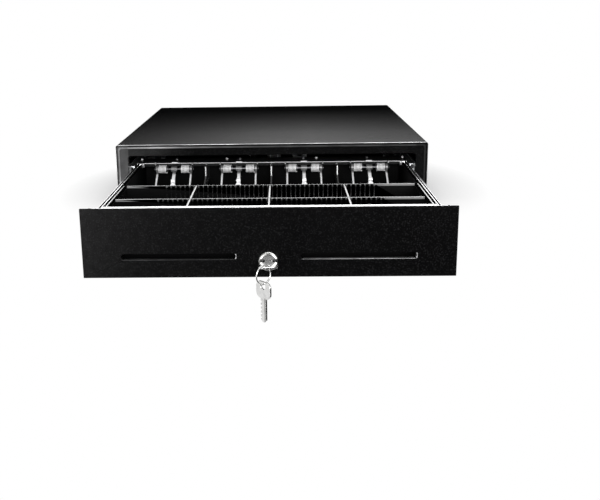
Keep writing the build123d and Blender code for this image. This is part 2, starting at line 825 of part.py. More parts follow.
# Note tray: a moulded tray with a well for the coin tray and four note compartments
note_half = note_tray_width / 2
note_front_y = fascia_y + tray_front
note_rear_y = fascia_y + tray_rear
well_rear_y = fascia_y + coin_rear + tray_wall
rail_y = fascia_y + rail_front
rear_rim_height = 66.0
tray_foot_size = 12.0
tray_rim_drop = 0.4
divider_places = [number * bay_pitch for number in (-1, 0, 1)]
compartment_places = [(number - 1.5) * bay_pitch for number in range(4)]
divider_dip = 46.0
divider_step = 58.0
divider_shoulder = 21.0
divider_shoulder_y = rail_y - divider_shoulder
divider_bend = 20.0
with BuildPart() as note_tray:
    block(
        span(0, note_tray_width),
        (note_front_y, note_rear_y),
        (tray_floor, tray_floor + tray_wall),
    )
    for side in (-1, 1):
        block(
            span(side * (note_half - tray_wall / 2), tray_wall),
            (note_front_y, rail_y - pan_hem),
            (tray_floor, rim_height - tray_rim_drop),
        )
        block(
            span(side * (note_half - tray_wall / 2), tray_wall),
            (rail_y - pan_hem, note_rear_y),
            (tray_floor, rear_rim_height),
        )
    block(
        span(0, note_tray_width),
        (note_front_y, note_front_y + tray_wall),
        (tray_floor, rear_rim_height),
    )
    block(
        span(0, note_tray_width),
        (note_rear_y - tray_wall, note_rear_y),
        (tray_floor, rear_rim_height),
    )
    block(
        span(0, note_tray_width),
        (well_rear_y, well_rear_y + tray_wall),
        (tray_floor, rear_rim_height),
    )
    # dividers between the notes, dipped in the middle for the fingers
    for place in divider_places:
        with BuildSketch(facing_side(place - tray_wall / 2)):
            with BuildLine():
                Polyline(
                    (well_rear_y, tray_floor),
                    (well_rear_y, rear_rim_height),
                    (well_rear_y + 2 * tray_wall, rear_rim_height),
                    (well_rear_y + divider_bend, divider_dip),
                    (divider_shoulder_y - 2 * divider_bend, divider_dip),
                    (divider_shoulder_y - tray_wall, divider_step),
                    (divider_shoulder_y, rim_height - tray_rim_drop),
                    (rail_y - tray_wall / 2, rim_height - tray_rim_drop),
                    (rail_y - tray_wall / 2, rear_rim_height),
                    (note_rear_y, rear_rim_height),
                    (note_rear_y, tray_floor),
                    close=True,
                )
            make_face()
        extrude(amount=tray_wall)
    # feet that lift the tray off the pan, so that papers from the slots lie beneath it
    with BuildSketch(Plane.XY.offset(tray_floor)):
        with Locations((0, (note_front_y + note_rear_y) / 2)):
            with GridLocations(
                note_half - 2 * tray_foot_size, (tray_rear - tray_front) / 2 - tray_foot_size, 3, 3
            ):
                Rectangle(tray_foot_size, tray_foot_size)
    extrude(amount=-(tray_floor - pan_floor - pan_sheet))
note_tray.part.label = "note_tray"
export_step(note_tray.part, "parts/note_tray.step")

# Coin tray: an insert with two troughs, ribbed so that its dividers can be moved
coin_half = note_half - tray_wall - sheet_gap
coin_rim = 4.0
coin_front_y = note_front_y + tray_wall + 2 * sheet_gap
coin_rear_y = fascia_y + coin_rear + tray_wall - 2 * sheet_gap
coin_mid_y = fascia_y + coin_mid
coin_base = tray_floor + tray_wall + sheet_gap
coin_floor = coin_base + tray_wall
trough_radius = 16.0
rib_width = 1.2
rib_depth = 1.2
rib_pitch = bay_pitch / 16
rib_count = 46
coin_wall_half = tray_wall / 2
trough_spans = (
    (coin_front_y + tray_wall, coin_mid_y - coin_wall_half),
    (coin_mid_y + coin_wall_half, coin_rear_y - tray_wall),
)
trough_half = coin_half - coin_rim
with BuildPart() as coin_tray:
    block(span(0, 2 * coin_half), (coin_front_y, coin_rear_y), (coin_base, rim_height))
    # the outside is drawn in below the rim
    for side in (-1, 1):
        block(
            span(side * coin_half, coin_rim),
            (coin_front_y - overrun, coin_rear_y + overrun),
            (coin_base - overrun, rim_height - coin_rim),
            mode=Mode.SUBTRACT,
        )
    for y_span in trough_spans:
        with BuildSketch(facing_side(-trough_half)):
            with Locations(((y_span[0] + y_span[1]) / 2, (coin_floor + rim_height + overrun) / 2)):
                trough = Rectangle(y_span[1] - y_span[0], rim_height + overrun - coin_floor)
            fillet(trough.vertices().group_by(Axis.Y)[0], radius=trough_radius)
        extrude(amount=2 * trough_half, mode=Mode.SUBTRACT)
    # ribs on the wall behind each trough and in front of it
    for y_span in trough_spans:
        for wall_y, inward in ((y_span[0], 1), (y_span[1], -1)):
            with BuildSketch(Plane.XY.offset(coin_floor + trough_radius / 2)):
                with Locations((0, wall_y + inward * rib_depth / 2)):
                    with GridLocations(rib_pitch, rib_pitch, rib_count, 1):
                        Rectangle(rib_width, rib_depth)
            extrude(amount=rim_height - coin_floor - trough_radius / 2 - tray_rim_drop)
coin_tray.part.label = "coin_tray"
export_step(coin_tray.part, "parts/coin_tray.step")

# Coin dividers: three loose plates in each row, which stand between the ribs
coin_divider_sheet = 2.2
divider_low = coin_floor + sheet_gap
for row_name, y_span in zip(("front", "rear"), trough_spans):
    with BuildPart() as coin_dividers:
        for place in divider_places:
            with BuildSketch(facing_side(place - coin_divider_sheet / 2)):
                with Locations(((y_span[0] + y_span[1]) / 2, (divider_low + rim_height) / 2)):
                    plate = Rectangle(
                        y_span[1] - y_span[0] - 2 * sheet_gap, rim_height - divider_low
                    )
                fillet(plate.vertices().group_by(Axis.Y)[0], radius=trough_radius)
            extrude(amount=coin_divider_sheet)
    keep(coin_dividers.part, f"{row_name}_coin_dividers")

# Clip rail: a folded strip across the pan, with ears that hold the clips' pins
pin_setback = 6.5
pin_drop = 6.0
pin_y = rail_y - pin_setback
pin_z = rim_height - pin_drop
pin_radius = 1.75
bush_radius = 4.0
ear_inner = 24.2
ear_sheet = 1.2
ear_height = 9.0
ear_front = 3.0
rail_lip = 3.5
rail_boss_width = 8.0
rail_boss_height = 1.2
rail_half = pan_width / 2 - 2 * sheet_gap
corner_piece = 9.0
with BuildPart() as clip_rail:
    block(
        span(0, 2 * rail_half),
        (rail_y, pan_rear_y),
        (rim_height, rim_height + rail_sheet),
    )
    block(
        span(0, 2 * (rail_half - corner_piece - sheet_gap)),
        (rail_y, rail_y + rail_sheet),
        (rim_height - rail_lip, rim_height),
    )
    for centre in compartment_places:
        block(
            span(centre, rail_boss_width),
            (rail_y, rail_y + 3 * rail_sheet),
            (rim_height + rail_sheet, rim_height + rail_sheet + rail_boss_height),
        )
        for side in (-1, 1):
            block(
                span(centre + side * (ear_inner + ear_sheet / 2), ear_sheet),
                (pin_y - ear_front, rail_y + rail_sheet),
                (rim_height + rail_sheet - ear_height, rim_height + rail_sheet),
            )
            with Locations((centre + side * (ear_inner + ear_sheet / 2), pin_y, pin_z)):
                Cylinder(
                    pin_radius + pin_gap,
                    ear_sheet + 2 * overrun,
                    rotation=(0, 90, 0),
                    mode=Mode.SUBTRACT,
                )
clip_rail.part.label = "clip_rail"
export_step(clip_rail.part, "parts/clip_rail.step")

# Corner brackets: small bright angles in front of the rail's ends, on the pan's flanges
corner_drop = 4.5
corner_depth = 2.2
corner_y = (rail_y - sheet_gap - corner_depth, rail_y - sheet_gap)
with BuildPart() as corner_brackets:
    for side in (-1, 1):
        block(
            span(side * (rail_half - corner_piece / 2), corner_piece),
            corner_y,
            (rim_height, rim_height + rail_sheet),
        )
        inner_edge = rail_half - corner_piece
        outer_edge = pan_side - pan_hem - sheet_gap
        block(
            span(side * (inner_edge + outer_edge) / 2, outer_edge - inner_edge),
            corner_y,
            (rim_height - corner_drop, rim_height),
        )
corner_brackets.part.label = "corner_brackets"
export_step(corner_brackets.part, "parts/corner_brackets.step")

# Rail screws: four bright ones hold the rail, and one behind each clip
rail_screw_setback = 26.5
inner_screw_share = 0.7044
inner_screw_x = inner_screw_share * bay_pitch
corner_screw_x = pan_side - pan_hem / 2
rail_screw_places = [
    (place, rail_y + rail_screw_setback)
    for place in (-corner_screw_x, -inner_screw_x, inner_screw_x, corner_screw_x)
]
clip_screw_places = [(centre, rail_y + rail_screw_setback) for centre in compartment_places]
with BuildPart() as rail_screws:
    with BuildSketch(Plane.XY.offset(rim_height + rail_sheet)):
        with Locations(*rail_screw_places):
            Circle(pan_hem / 2 - sheet_gap / 2)
    extrude(amount=screw_head_height)
rail_screws.part.label = "rail_screws"
export_step(rail_screws.part, "parts/rail_screws.step")
with BuildPart() as clip_screws:
    with BuildSketch(Plane.XY.offset(rim_height + rail_sheet)):
        with Locations(*clip_screw_places):
            Circle(screw_head_radius)
    extrude(amount=screw_head_height)
clip_screws.part.label = "clip_screws"
export_step(clip_screws.part, "parts/clip_screws.step")

# Clip rods: a stepped pin for each clip, thick where the springs sit
bush_inner = 8.2
bush_outer = 20.7
rod_end = 26.0
with BuildPart() as clip_rods:
    for centre in compartment_places:
        with Locations((centre, pin_y, pin_z)):
            Cylinder(pin_radius, 2 * rod_end, rotation=(0, 90, 0))
        for side in (-1, 1):
            with Locations((centre + side * (bush_inner + bush_outer) / 2, pin_y, pin_z)):
                Cylinder(bush_radius, bush_outer - bush_inner, rotation=(0, 90, 0))
clip_rods.part.label = "clip_rods"
export_step(clip_rods.part, "parts/clip_rods.step")


def coil_tube(centre, axis, first, radius, pitch, turns, wire_radius, start, tail):
    """A wound spring as one tube, from a place along an axis, with a straight tail at each end."""
    side = axis.cross(first)
    steps = 2 * turns

    def place(step):
        angle = math.radians(start + 180 * step)
        around = first * math.cos(angle) + side * math.sin(angle)
        return centre + axis * (pitch * step / 2) + around * radius

    def heading(step):
        angle = math.radians(start + 180 * step)
        around = side * math.cos(angle) - first * math.sin(angle)
        return (around * (2 * math.pi * radius) + axis * pitch).normalized()

    with BuildLine() as path:
        Line(place(0) - heading(0) * tail, place(0))
        for step in range(steps):
            # two arcs that meet half-way and share their tangent there
            start_way, end_way = heading(step), heading(step + 1)
            between = place(step + 1) - place(step)
            ways = start_way + end_way
            spread = 2 * (1 - start_way.dot(end_way))
            reach = (
                math.sqrt(between.dot(ways) ** 2 + spread * between.dot(between))
                - between.dot(ways)
            ) / spread
            middle = (place(step) + start_way * reach + place(step + 1) - end_way * reach) * 0.5
            middle_way = place(step + 1) - end_way * reach - place(step) - start_way * reach
            TangentArc(place(step), middle, tangent=start_way)
            TangentArc(middle, place(step + 1), tangent=middle_way)
        Line(place(steps), place(steps) + heading(steps) * tail)
    with BuildSketch(Plane(origin=place(0) - heading(0) * tail, z_dir=heading(0))) as section:
        Circle(wire_radius)
    return section.sketch, path.wires()[0]


def least_gap(path, wire_radius, pitch_points):
    """The least gap between one turn of a wound tube and the next, measured on points."""
    count = 40 * pitch_points
    points = [path @ (number / count) for number in range(count + 1)]
    skip = count // pitch_points - 6
    nearest = min(
        (points[first] - points[second]).length
        for first in range(0, count - skip)
        for second in range(first + skip, min(first + skip + 12, count + 1))
    )
    return nearest - 2 * wire_radius


# Clip springs: two wound springs on each rod, which press the clip down
spring_wire_radius = 0.65
spring_mean_radius = 4.85
spring_pitch = 1.75
spring_turns = 6
spring_tail = 5.0
spring_inner = 9.25
with BuildPart() as clip_springs:
    for centre in compartment_places:
        for side in (-1, 1):
            section, path = coil_tube(
                Vector(centre + side * spring_inner, pin_y, pin_z),
                Vector(side, 0, 0),
                Vector(0, 0, -1),
                spring_mean_radius,
                spring_pitch,
                spring_turns,
                spring_wire_radius,
                0,
                spring_tail,
            )
            sweep(section, path=path)
clip_springs.part.label = "clip_springs"
export_step(clip_springs.part, "parts/clip_springs.step")
print("clip spring gap", least_gap(path, spring_wire_radius, spring_turns))

# Clips: a wire bail that presses on the notes, and a strip that joins it to the rod
clip_slope = 33.0
bail_radius = 1.3
bail_offset = 3.3
bail_half = 22.4
bail_corner = 6.0
eye_radius = 4.8
eye_half = 1.5
note_floor = tray_floor + tray_wall
clip_rest_gap = 0.6
slope_sin = math.sin(math.radians(clip_slope))
slope_cos = math.cos(math.radians(clip_slope))
roll_radius = 2.1
bail_low = note_floor + clip_rest_gap + roll_radius
bail_reach = (pin_z - bail_offset * slope_cos - bail_low) / slope_sin
barrel_radius = 3.4
barrel_half = 3.8
strip_width = 4.0
strip_sheet = 0.8
strip_offset = 2.8
strip_reach = 19.5
curl_place = 21.5
curl_radius = 3.0
curl_width = 5.0
plate_start = 23.5
plate_narrow = 4.0
plate_wide = 30.0
for number, centre in enumerate(compartment_places):
    slope_plane = Plane(
        origin=(centre, pin_y, pin_z), x_dir=(1, 0, 0), z_dir=(0, slope_sin, -slope_cos)
    )
    with BuildPart() as clip_bail:
        with BuildLine(slope_plane.offset(bail_offset)) as bail_path:
            FilletPolyline(
                (-bail_half, 0),
                (-bail_half, bail_reach),
                (bail_half, bail_reach),
                (bail_half, 0),
                radius=bail_corner,
            )
        bail_wire = bail_path.wires()[0]
        with BuildSketch(Plane(origin=bail_wire @ 0, z_dir=bail_wire % 0)):
            Circle(bail_radius)
        sweep(path=bail_wire)
        for side in (-1, 1):
            with BuildSketch(facing_side(centre + side * bail_half - eye_half)):
                with Locations((pin_y, pin_z)):
                    Circle(eye_radius)
            extrude(amount=2 * eye_half)
            with BuildSketch(facing_side(centre + side * bail_half - eye_half - overrun)):
                with Locations((pin_y, pin_z)):
                    Circle(pin_radius + pin_gap)
            extrude(amount=2 * (eye_half + overrun), mode=Mode.SUBTRACT)
    keep(clip_bail.part, f"clip_bail_{number + 1}")
    with BuildPart() as clip_lever:
        with BuildSketch(facing_side(centre - barrel_half)):
            with Locations((pin_y, pin_z)):
                Circle(barrel_radius)
        extrude(amount=2 * barrel_half)
        with BuildSketch(slope_plane.offset(strip_offset - strip_sheet / 2)):
            with Locations((0, strip_reach / 2)):
                Rectangle(strip_width, strip_reach)
            with BuildLine():
                Polyline(
                    (-plate_narrow / 2, plate_start),
                    (plate_narrow / 2, plate_start),
                    (plate_wide / 2, bail_reach - roll_radius / 2),
                    (-plate_wide / 2, bail_reach - roll_radius / 2),
                    close=True,
                )
            make_face()
        extrude(amount=strip_sheet)
        curl = slope_plane.from_local_coords((0, curl_place, strip_offset - strip_sheet))
        with BuildSketch(facing_side(centre - curl_width / 2)):
            with Locations((curl.Y, curl.Z)):
                Circle(curl_radius)
                Circle(curl_radius - strip_sheet, mode=Mode.SUBTRACT)
        extrude(amount=curl_width)
        roll = slope_plane.from_local_coords((0, bail_reach, bail_offset))
        with BuildSketch(facing_side(centre - plate_wide / 2)):
            with Locations((roll.Y, roll.Z)):
                Circle(roll_radius)
        extrude(amount=plate_wide)
        with BuildSketch(facing_side(centre - plate_wide / 2 - overrun)):
            with Locations((roll.Y, roll.Z)):
                Circle(bail_radius + pin_gap)
        extrude(amount=plate_wide + 2 * overrun, mode=Mode.SUBTRACT)
        with BuildSketch(facing_side(centre - barrel_half - overrun)):
            with Locations((pin_y, pin_z)):
                Circle(pin_radius + pin_gap)
        extrude(amount=2 * (barrel_half + overrun), mode=Mode.SUBTRACT)
    keep(clip_lever.part, f"clip_lever_{number + 1}")

# Latch bracket: a folded plate behind the drawer that carries the latch and the spring
closed_rear_y = pan_rear_y + open_travel
latch_setback = 42.0
latch_pivot_y = closed_rear_y + latch_setback
latch_pin_radius = 2.0
cheek_inner = 6.0
cheek_reach = 6.0
bracket_left = -44.0
bracket_right = 60.0
stud_x = 45.0
stud_radius = 5.0
stud_length = 16.0
stud_setback = 22.0
stud_plate_y = closed_rear_y + stud_setback
stud_plate_half = 12.0
stud_height = 30.0
solenoid_front = latch_pivot_y + cheek_reach + slide_gap
solenoid_size = 24.0
solenoid_height = 20.0
latch_floor = base_top + bracket_sheet
switch_x = -35.0
switch_half = 5.0
switch_setback = 2.5
switch_y = closed_rear_y + switch_setback
switch_length = 20.0
switch_low = 20.0
switch_height = 10.0
with BuildPart() as latch_bracket:
    block(
        (bracket_left, bracket_right),
        (stud_plate_y - stud_plate_half, solenoid_front + solenoid_size),
        (base_top, latch_floor),
    )
    for side in (-1, 1):
        block(
            span(side * (cheek_inner + bracket_sheet / 2), bracket_sheet),
            (latch_pivot_y - cheek_reach, latch_pivot_y + cheek_reach),
            (base_top, striker_z + cheek_reach),
        )
    block(
        span(stud_x, 2 * stud_plate_half),
        (stud_plate_y, stud_plate_y + bracket_sheet),
        (base_top, stud_height + stud_plate_half),
    )
    with BuildSketch(facing_front(stud_plate_y + overrun)):
        with Locations((stud_x, stud_height)):
            Circle(stud_radius)
    extrude(amount=stud_length + overrun)
    # the tab that carries the switch
    block(
        (switch_x - switch_half - bracket_sheet, switch_x - switch_half),
        (switch_y, switch_y + switch_length),
        (base_top, switch_low + switch_height),
    )
    with BuildSketch(facing_side(-cheek_inner - 2 * bracket_sheet)):
        with Locations((latch_pivot_y, striker_z)):
            Circle(latch_pin_radius + pin_gap)
    extrude(amount=2 * (cheek_inner + 2 * bracket_sheet), mode=Mode.SUBTRACT)
latch_bracket.part.label = "latch_bracket"
export_step(latch_bracket.part, "parts/latch_bracket.step")

# Latch pivot: the pin that the hook turns on
with BuildPart() as latch_pivot:
    with Locations((0, latch_pivot_y, striker_z)):
        Cylinder(latch_pin_radius, 2 * (cheek_inner + 2 * bracket_sheet), rotation=(0, 90, 0))
    for side in (-1, 1):
        with Locations((side * (cheek_inner + 2 * bracket_sheet), latch_pivot_y, striker_z)):
            Cylinder(2 * latch_pin_radius, 2 * bracket_sheet - pin_gap, rotation=(0, 90, 0))
latch_pivot.part.label = "latch_pivot"
export_step(latch_pivot.part, "parts/latch_pivot.step")

# Latch hook: holds the striker's bar until the solenoid tips it. It is drawn tipped, as
# it is while the bar passes below it. Its places are counted from its pivot.
hook_half = 2.0
hook_gap = 0.8
hook_tip = 12.0
nose_depth = 3.6
hook_arm = 6.0
hook_tail = 4.5
bar_y = closed_rear_y + striker_bar_reach
nose_rear = bar_y - striker_bar_radius - hook_gap - latch_pivot_y
nose_front = nose_rear - nose_depth
arm_low = striker_bar_radius + hook_gap
plunger_y = solenoid_front + solenoid_size / 2
plunger_reach = plunger_y - latch_pivot_y
plunger_pin_radius = 1.2
plunger_slot_shift = 0.5
pin_rise = arm_low + hook_arm / 2
tip_sin = math.sin(math.radians(hook_tip))
tip_cos = math.cos(math.radians(hook_tip))
hook_plane = Plane(
    origin=(-hook_half, latch_pivot_y, striker_z), x_dir=(0, tip_cos, -tip_sin), z_dir=(1, 0, 0)
)
with BuildPart() as latch_hook:
    with BuildSketch(hook_plane):
        with BuildLine():
            Polyline(
                (nose_front, arm_low + hook_arm),
                (nose_front, nose_depth - striker_bar_radius),
                (nose_rear, -striker_bar_radius),
                (nose_rear, arm_low),
                (plunger_reach + hook_tail, arm_low),
                (plunger_reach + hook_tail, arm_low + hook_arm),
                close=True,
            )
        make_face()
        Circle(3 * latch_pin_radius)
        Circle(latch_pin_radius + pin_gap, mode=Mode.SUBTRACT)
        with Locations((plunger_reach - plunger_slot_shift, pin_rise)):
            SlotOverall(
                2 * (plunger_pin_radius + slide_gap + plunger_slot_shift),
                2 * (plunger_pin_radius + slide_gap),
                mode=Mode.SUBTRACT,
            )
    extrude(amount=2 * hook_half)
latch_hook.part.label = "latch_hook"
export_step(latch_hook.part, "parts/latch_hook.step")

# Solenoid: the coil that pulls the hook's tail down, and its plunger
plunger_radius = 3.9
plunger_bore_gap = 0.1
plunger_base_gap = 5.0
solenoid_top = latch_floor + solenoid_height
with BuildPart() as solenoid:
    block(
        span(0, solenoid_size),
        (solenoid_front, solenoid_front + solenoid_size),
        (latch_floor, solenoid_top),
    )
    with BuildSketch(Plane.XY.offset(solenoid_top + overrun)):
        with Locations((0, plunger_y)):
            Circle(plunger_radius + plunger_bore_gap)
    extrude(amount=-(solenoid_height + overrun - bracket_sheet), mode=Mode.SUBTRACT)
solenoid.part.label = "solenoid"
export_step(solenoid.part, "parts/solenoid.step")
# the plunger is drawn pulled in, as far as the tipped hook's tail goes down
plunger_drop = pin_rise - (pin_rise - plunger_reach * tip_sin) / tip_cos
pin_height = striker_z + pin_rise - plunger_drop
plunger_low = latch_floor + bracket_sheet + plunger_base_gap - plunger_drop
plunger_high = pin_height + hook_arm / 2 + overrun
plunger_slot_low = pin_height - hook_arm / 2 - 2 * plunger_pin_radius
with BuildPart() as solenoid_plunger:
    with BuildSketch(Plane.XY.offset(plunger_low)):
        with Locations((0, plunger_y)):
            Circle(plunger_radius)
    extrude(amount=plunger_high - plunger_low)
    # a fork at the top holds the hook's tail, with a pin across it
    block(
        span(0, 2 * (hook_half + slide_gap)),
        span(plunger_y, 2 * (plunger_radius + overrun)),
        (plunger_slot_low, plunger_high + overrun),
        mode=Mode.SUBTRACT,
    )
    with Locations((0, plunger_y, pin_height)):
        Cylinder(
            plunger_pin_radius, 2 * (hook_half + slide_gap + bracket_sheet), rotation=(0, 90, 0)
        )
solenoid_plunger.part.label = "solenoid_plunger"
export_step(solenoid_plunger.part, "parts/solenoid_plunger.step")

# Eject spring: pushes the drawer out when the latch lets go, drawn as it is when pressed
eject_wire_radius = 0.7
eject_mean_radius = 6.7
eject_pitch = 3.1
eject_turns = 6
eject_tail = 1.4
with BuildPart() as eject_spring:
    section, path = coil_tube(
        Vector(stud_x, stud_plate_y - eject_wire_radius - pin_gap, stud_height),
        Vector(0, -1, 0),
        Vector(0, 0, -1),
        eject_mean_radius,
        eject_pitch,
        eject_turns,
        eject_wire_radius,
        0,
        eject_tail,
    )
    sweep(section, path=path)
eject_spring.part.label = "eject_spring"
export_step(eject_spring.part, "parts/eject_spring.step")
print("eject spring gap", least_gap(path, eject_wire_radius, eject_turns))

# Microswitch: tells when the drawer is shut
button_half = 1.5
button_reach = 1.2
with BuildPart() as microswitch:
    block(
        span(switch_x, 2 * switch_half),
        (switch_y, switch_y + switch_length),
        (switch_low, switch_low + switch_height),
    )
    block(
        span(switch_x, 2 * button_half),
        (switch_y - button_reach, switch_y),
        span(switch_low + switch_height / 2, 2 * button_half),
    )
microswitch.part.label = "microswitch"
export_step(microswitch.part, "parts/microswitch.step")
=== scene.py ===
import math

import bmesh
import bpy
from mathutils import Euler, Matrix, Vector


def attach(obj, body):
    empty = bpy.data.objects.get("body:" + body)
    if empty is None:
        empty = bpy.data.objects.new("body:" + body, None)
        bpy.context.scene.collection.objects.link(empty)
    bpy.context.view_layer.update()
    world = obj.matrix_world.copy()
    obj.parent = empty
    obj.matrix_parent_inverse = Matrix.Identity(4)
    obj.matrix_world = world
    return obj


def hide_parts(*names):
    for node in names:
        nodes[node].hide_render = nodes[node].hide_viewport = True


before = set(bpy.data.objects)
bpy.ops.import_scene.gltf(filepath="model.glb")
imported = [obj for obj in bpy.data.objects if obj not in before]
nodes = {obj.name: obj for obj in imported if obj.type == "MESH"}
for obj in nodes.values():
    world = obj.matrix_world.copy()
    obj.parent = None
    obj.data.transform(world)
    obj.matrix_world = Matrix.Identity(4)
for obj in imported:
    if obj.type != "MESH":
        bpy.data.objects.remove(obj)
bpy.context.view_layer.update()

# Camera: stands a little above the open drawer and looks slightly down into it, as the
# photograph does. It has the lens of a picture taken from 1.3 m in front of the case.
camera_place = (0.01485, -1.27673, 0.27358)
camera_turn = (76.016, 0.888, 1.512)
lens_width = 36.0
lens_length = 49.514
lens_shift = (0.0688, -0.0625)
camera_data = bpy.data.cameras.new("camera")
camera_data.sensor_width = lens_width
camera_data.lens = lens_length
camera_data.shift_x, camera_data.shift_y = lens_shift
camera_data.clip_start = 0.01
camera = bpy.data.objects.new("camera", camera_data)
camera.location = camera_place
camera.rotation_euler = Euler([math.radians(angle) for angle in camera_turn])
bpy.context.collection.objects.link(camera)
bpy.context.scene.camera = camera
bpy.context.scene.view_settings.view_transform = "Standard"


# Backdrop: a white sweep, white to the camera and in gloss, and a pale grey as a lamp.
# Its floor lies under the case alone, because the drawer and its keys hang out past the
# edge of what the case stands on.
class Socket:
    """A node's output, or a plain number, that can be used in sums."""

    def __init__(self, finish, value):
        self.finish = finish
        self.value = value

    def sum(self, operation, *others, **settings):
        settings["operation"] = operation
        sockets = dict(enumerate((self, *others)))
        return self.finish.add("ShaderNodeMath", settings, sockets)

    def __add__(self, other):
        return self.sum("ADD", other)

    def __radd__(self, other):
        return self.sum("ADD", other)

    def __sub__(self, other):
        return self.sum("SUBTRACT", other)

    def __rsub__(self, other):
        return Socket(self.finish, other).sum("SUBTRACT", self)

    def __mul__(self, other):
        return self.sum("MULTIPLY", other)

    def __rmul__(self, other):
        return self.sum("MULTIPLY", other)

    def __truediv__(self, other):
        return self.sum("DIVIDE", other)

    def __rtruediv__(self, other):
        return Socket(self.finish, other).sum("DIVIDE", self)

    def clamp(self):
        return self.sum("MULTIPLY", 1.0, use_clamp=True)


class Finish:
    """A material, and the one way in which nodes are added to it."""

    def __init__(self, name, tree=None):
        if tree is None:
            self.material = bpy.data.materials.new(name)
            self.material.use_nodes = True
            tree = self.material.node_tree
        tree.nodes.clear()
        self.tree = tree

    def add(self, kind, settings, sockets, output=0):
        node = self.tree.nodes.new(kind)
        for name, value in settings.items():
            setattr(node, name, value)
        for name, value in sockets.items():
            if isinstance(value, Socket):
                value = value.value
            if isinstance(value, bpy.types.NodeSocket):
                self.tree.links.new(value, node.inputs[name])
            else:
                node.inputs[name].default_value = value
        return Socket(self, node.outputs[output]) if node.outputs else None

    def where(self, scale=(1.0, 1.0, 1.0)):
        place = self.add("ShaderNodeTexCoord", {}, {}, "Object")
        return self.add("ShaderNodeMapping", {}, {"Vector": place, "Scale": scale})

    def axis(self, name):
        return self.add("ShaderNodeSeparateXYZ", {}, {0: self.where()}, name)

    def noise(self, scale, detail=2.0, roughness=0.5, stretch=(1.0, 1.0, 1.0)):
        sockets = {"Scale": scale, "Detail": detail, "Roughness": roughness}
        sockets["Vector"] = self.where(stretch)
        return self.add("ShaderNodeTexNoise", {}, sockets, "Fac")

    def within(self, place, low, high, soft):
        """One between two places along an axis, nought outside, with soft ends."""
        return ((place - low) / soft).clamp() * ((high - place) / soft).clamp()

    def blend(self, factor, low, high):
        sockets = {0: factor}
        for number, shade in ((6, low), (7, high)):
            sockets[number] = (*shade, 1.0) if isinstance(shade, tuple) else shade
        return self.add("ShaderNodeMix", {"data_type": "RGBA"}, sockets, 2)

    def bump(self, height, distance, strength=1.0):
        sockets = {"Height": height, "Distance": distance, "Strength": strength}
        return self.add("ShaderNodeBump", {}, sockets)

    def close(self, sockets):
        shader = self.add("ShaderNodeBsdfPrincipled", {}, sockets)
        self.add("ShaderNodeOutputMaterial", {}, {"Surface": shader})
        return self.material

    def cover(self, share, under, over):
        """Ends the material with one shader over another, by a share."""
        whole = self.add("ShaderNodeMixShader", {}, {0: share, 1: under, 2: over})
        self.add("ShaderNodeOutputMaterial", {}, {"Surface": whole})
        return self.material

    def glossless(self, colour):
        """A shaded copy without shine, for painted shade: it stays dark at a low angle."""
        sockets = {"Base Color": colour, "Roughness": 0.8, "Specular IOR Level": 0.0}
        return self.add("ShaderNodeBsdfPrincipled", {}, sockets)


sweep = bpy.data.worlds.new("white_sweep")
sweep.use_nodes = True
bpy.context.scene.world = sweep
sky = Finish("white_sweep", sweep.node_tree)
light_path = sky.add("ShaderNodeLightPath", {}, {}).value.node
in_camera = Socket(sky, light_path.outputs["Is Camera Ray"])
in_gloss = Socket(sky, light_path.outputs["Is Glossy Ray"])
in_glass = Socket(sky, light_path.outputs["Is Transmission Ray"])
shown = (in_camera + in_gloss + in_glass).clamp()
sweep_light = 0.36
sky_strength = sweep_light + shown * (1.0 - sweep_light)
sky_light = sky.add(
    "ShaderNodeBackground", {}, {"Color": (1.0, 1.0, 1.0, 1.0), "Strength": sky_strength}
)
sky.add("ShaderNodeOutputWorld", {}, {"Surface": sky_light})

# the floor is pale near the case, where it takes the shadow, and white at its edges
shadow_reach = 0.2
shadow_fade = 0.13
ahead_start = -0.1
ahead_fade = 0.15
pale = Finish("pale_floor")
spread = pale.add("ShaderNodeVectorMath", {"operation": "LENGTH"}, {0: pale.where()}, "Value")
far = ((spread - shadow_reach) / shadow_fade).clamp()
ahead = ((ahead_start - pale.axis("Y")) / ahead_fade).clamp()
fade = 1.0 - (1.0 - far) * (1.0 - ahead)
matt = pale.add("ShaderNodeBsdfDiffuse", {}, {"Color": (0.9, 0.9, 0.9, 1.0)})
lit = pale.add("ShaderNodeEmission", {}, {"Color": (1.0, 1.0, 1.0, 1.0), "Strength": 1.0})
pale_floor = pale.cover(fade, matt, lit)


def card(name, corners, material):
    """A flat sheet of the studio, which isn't part of the drawer."""
    mesh = bpy.data.meshes.new(name)
    mesh.from_pydata(corners, [], [range(len(corners))])
    mesh.materials.append(material)
    sheet = bpy.data.objects.new(name, mesh)
    bpy.context.collection.objects.link(sheet)
    return sheet


floor_x = 2.0
floor_front = -0.3
floor_rear = 3.0
card(
    "floor",
    [
        (-floor_x, floor_front, 0.0),
        (floor_x, floor_front, 0.0),
        (floor_x, floor_rear, 0.0),
        (-floor_x, floor_rear, 0.0),
    ],
    pale_floor,
)

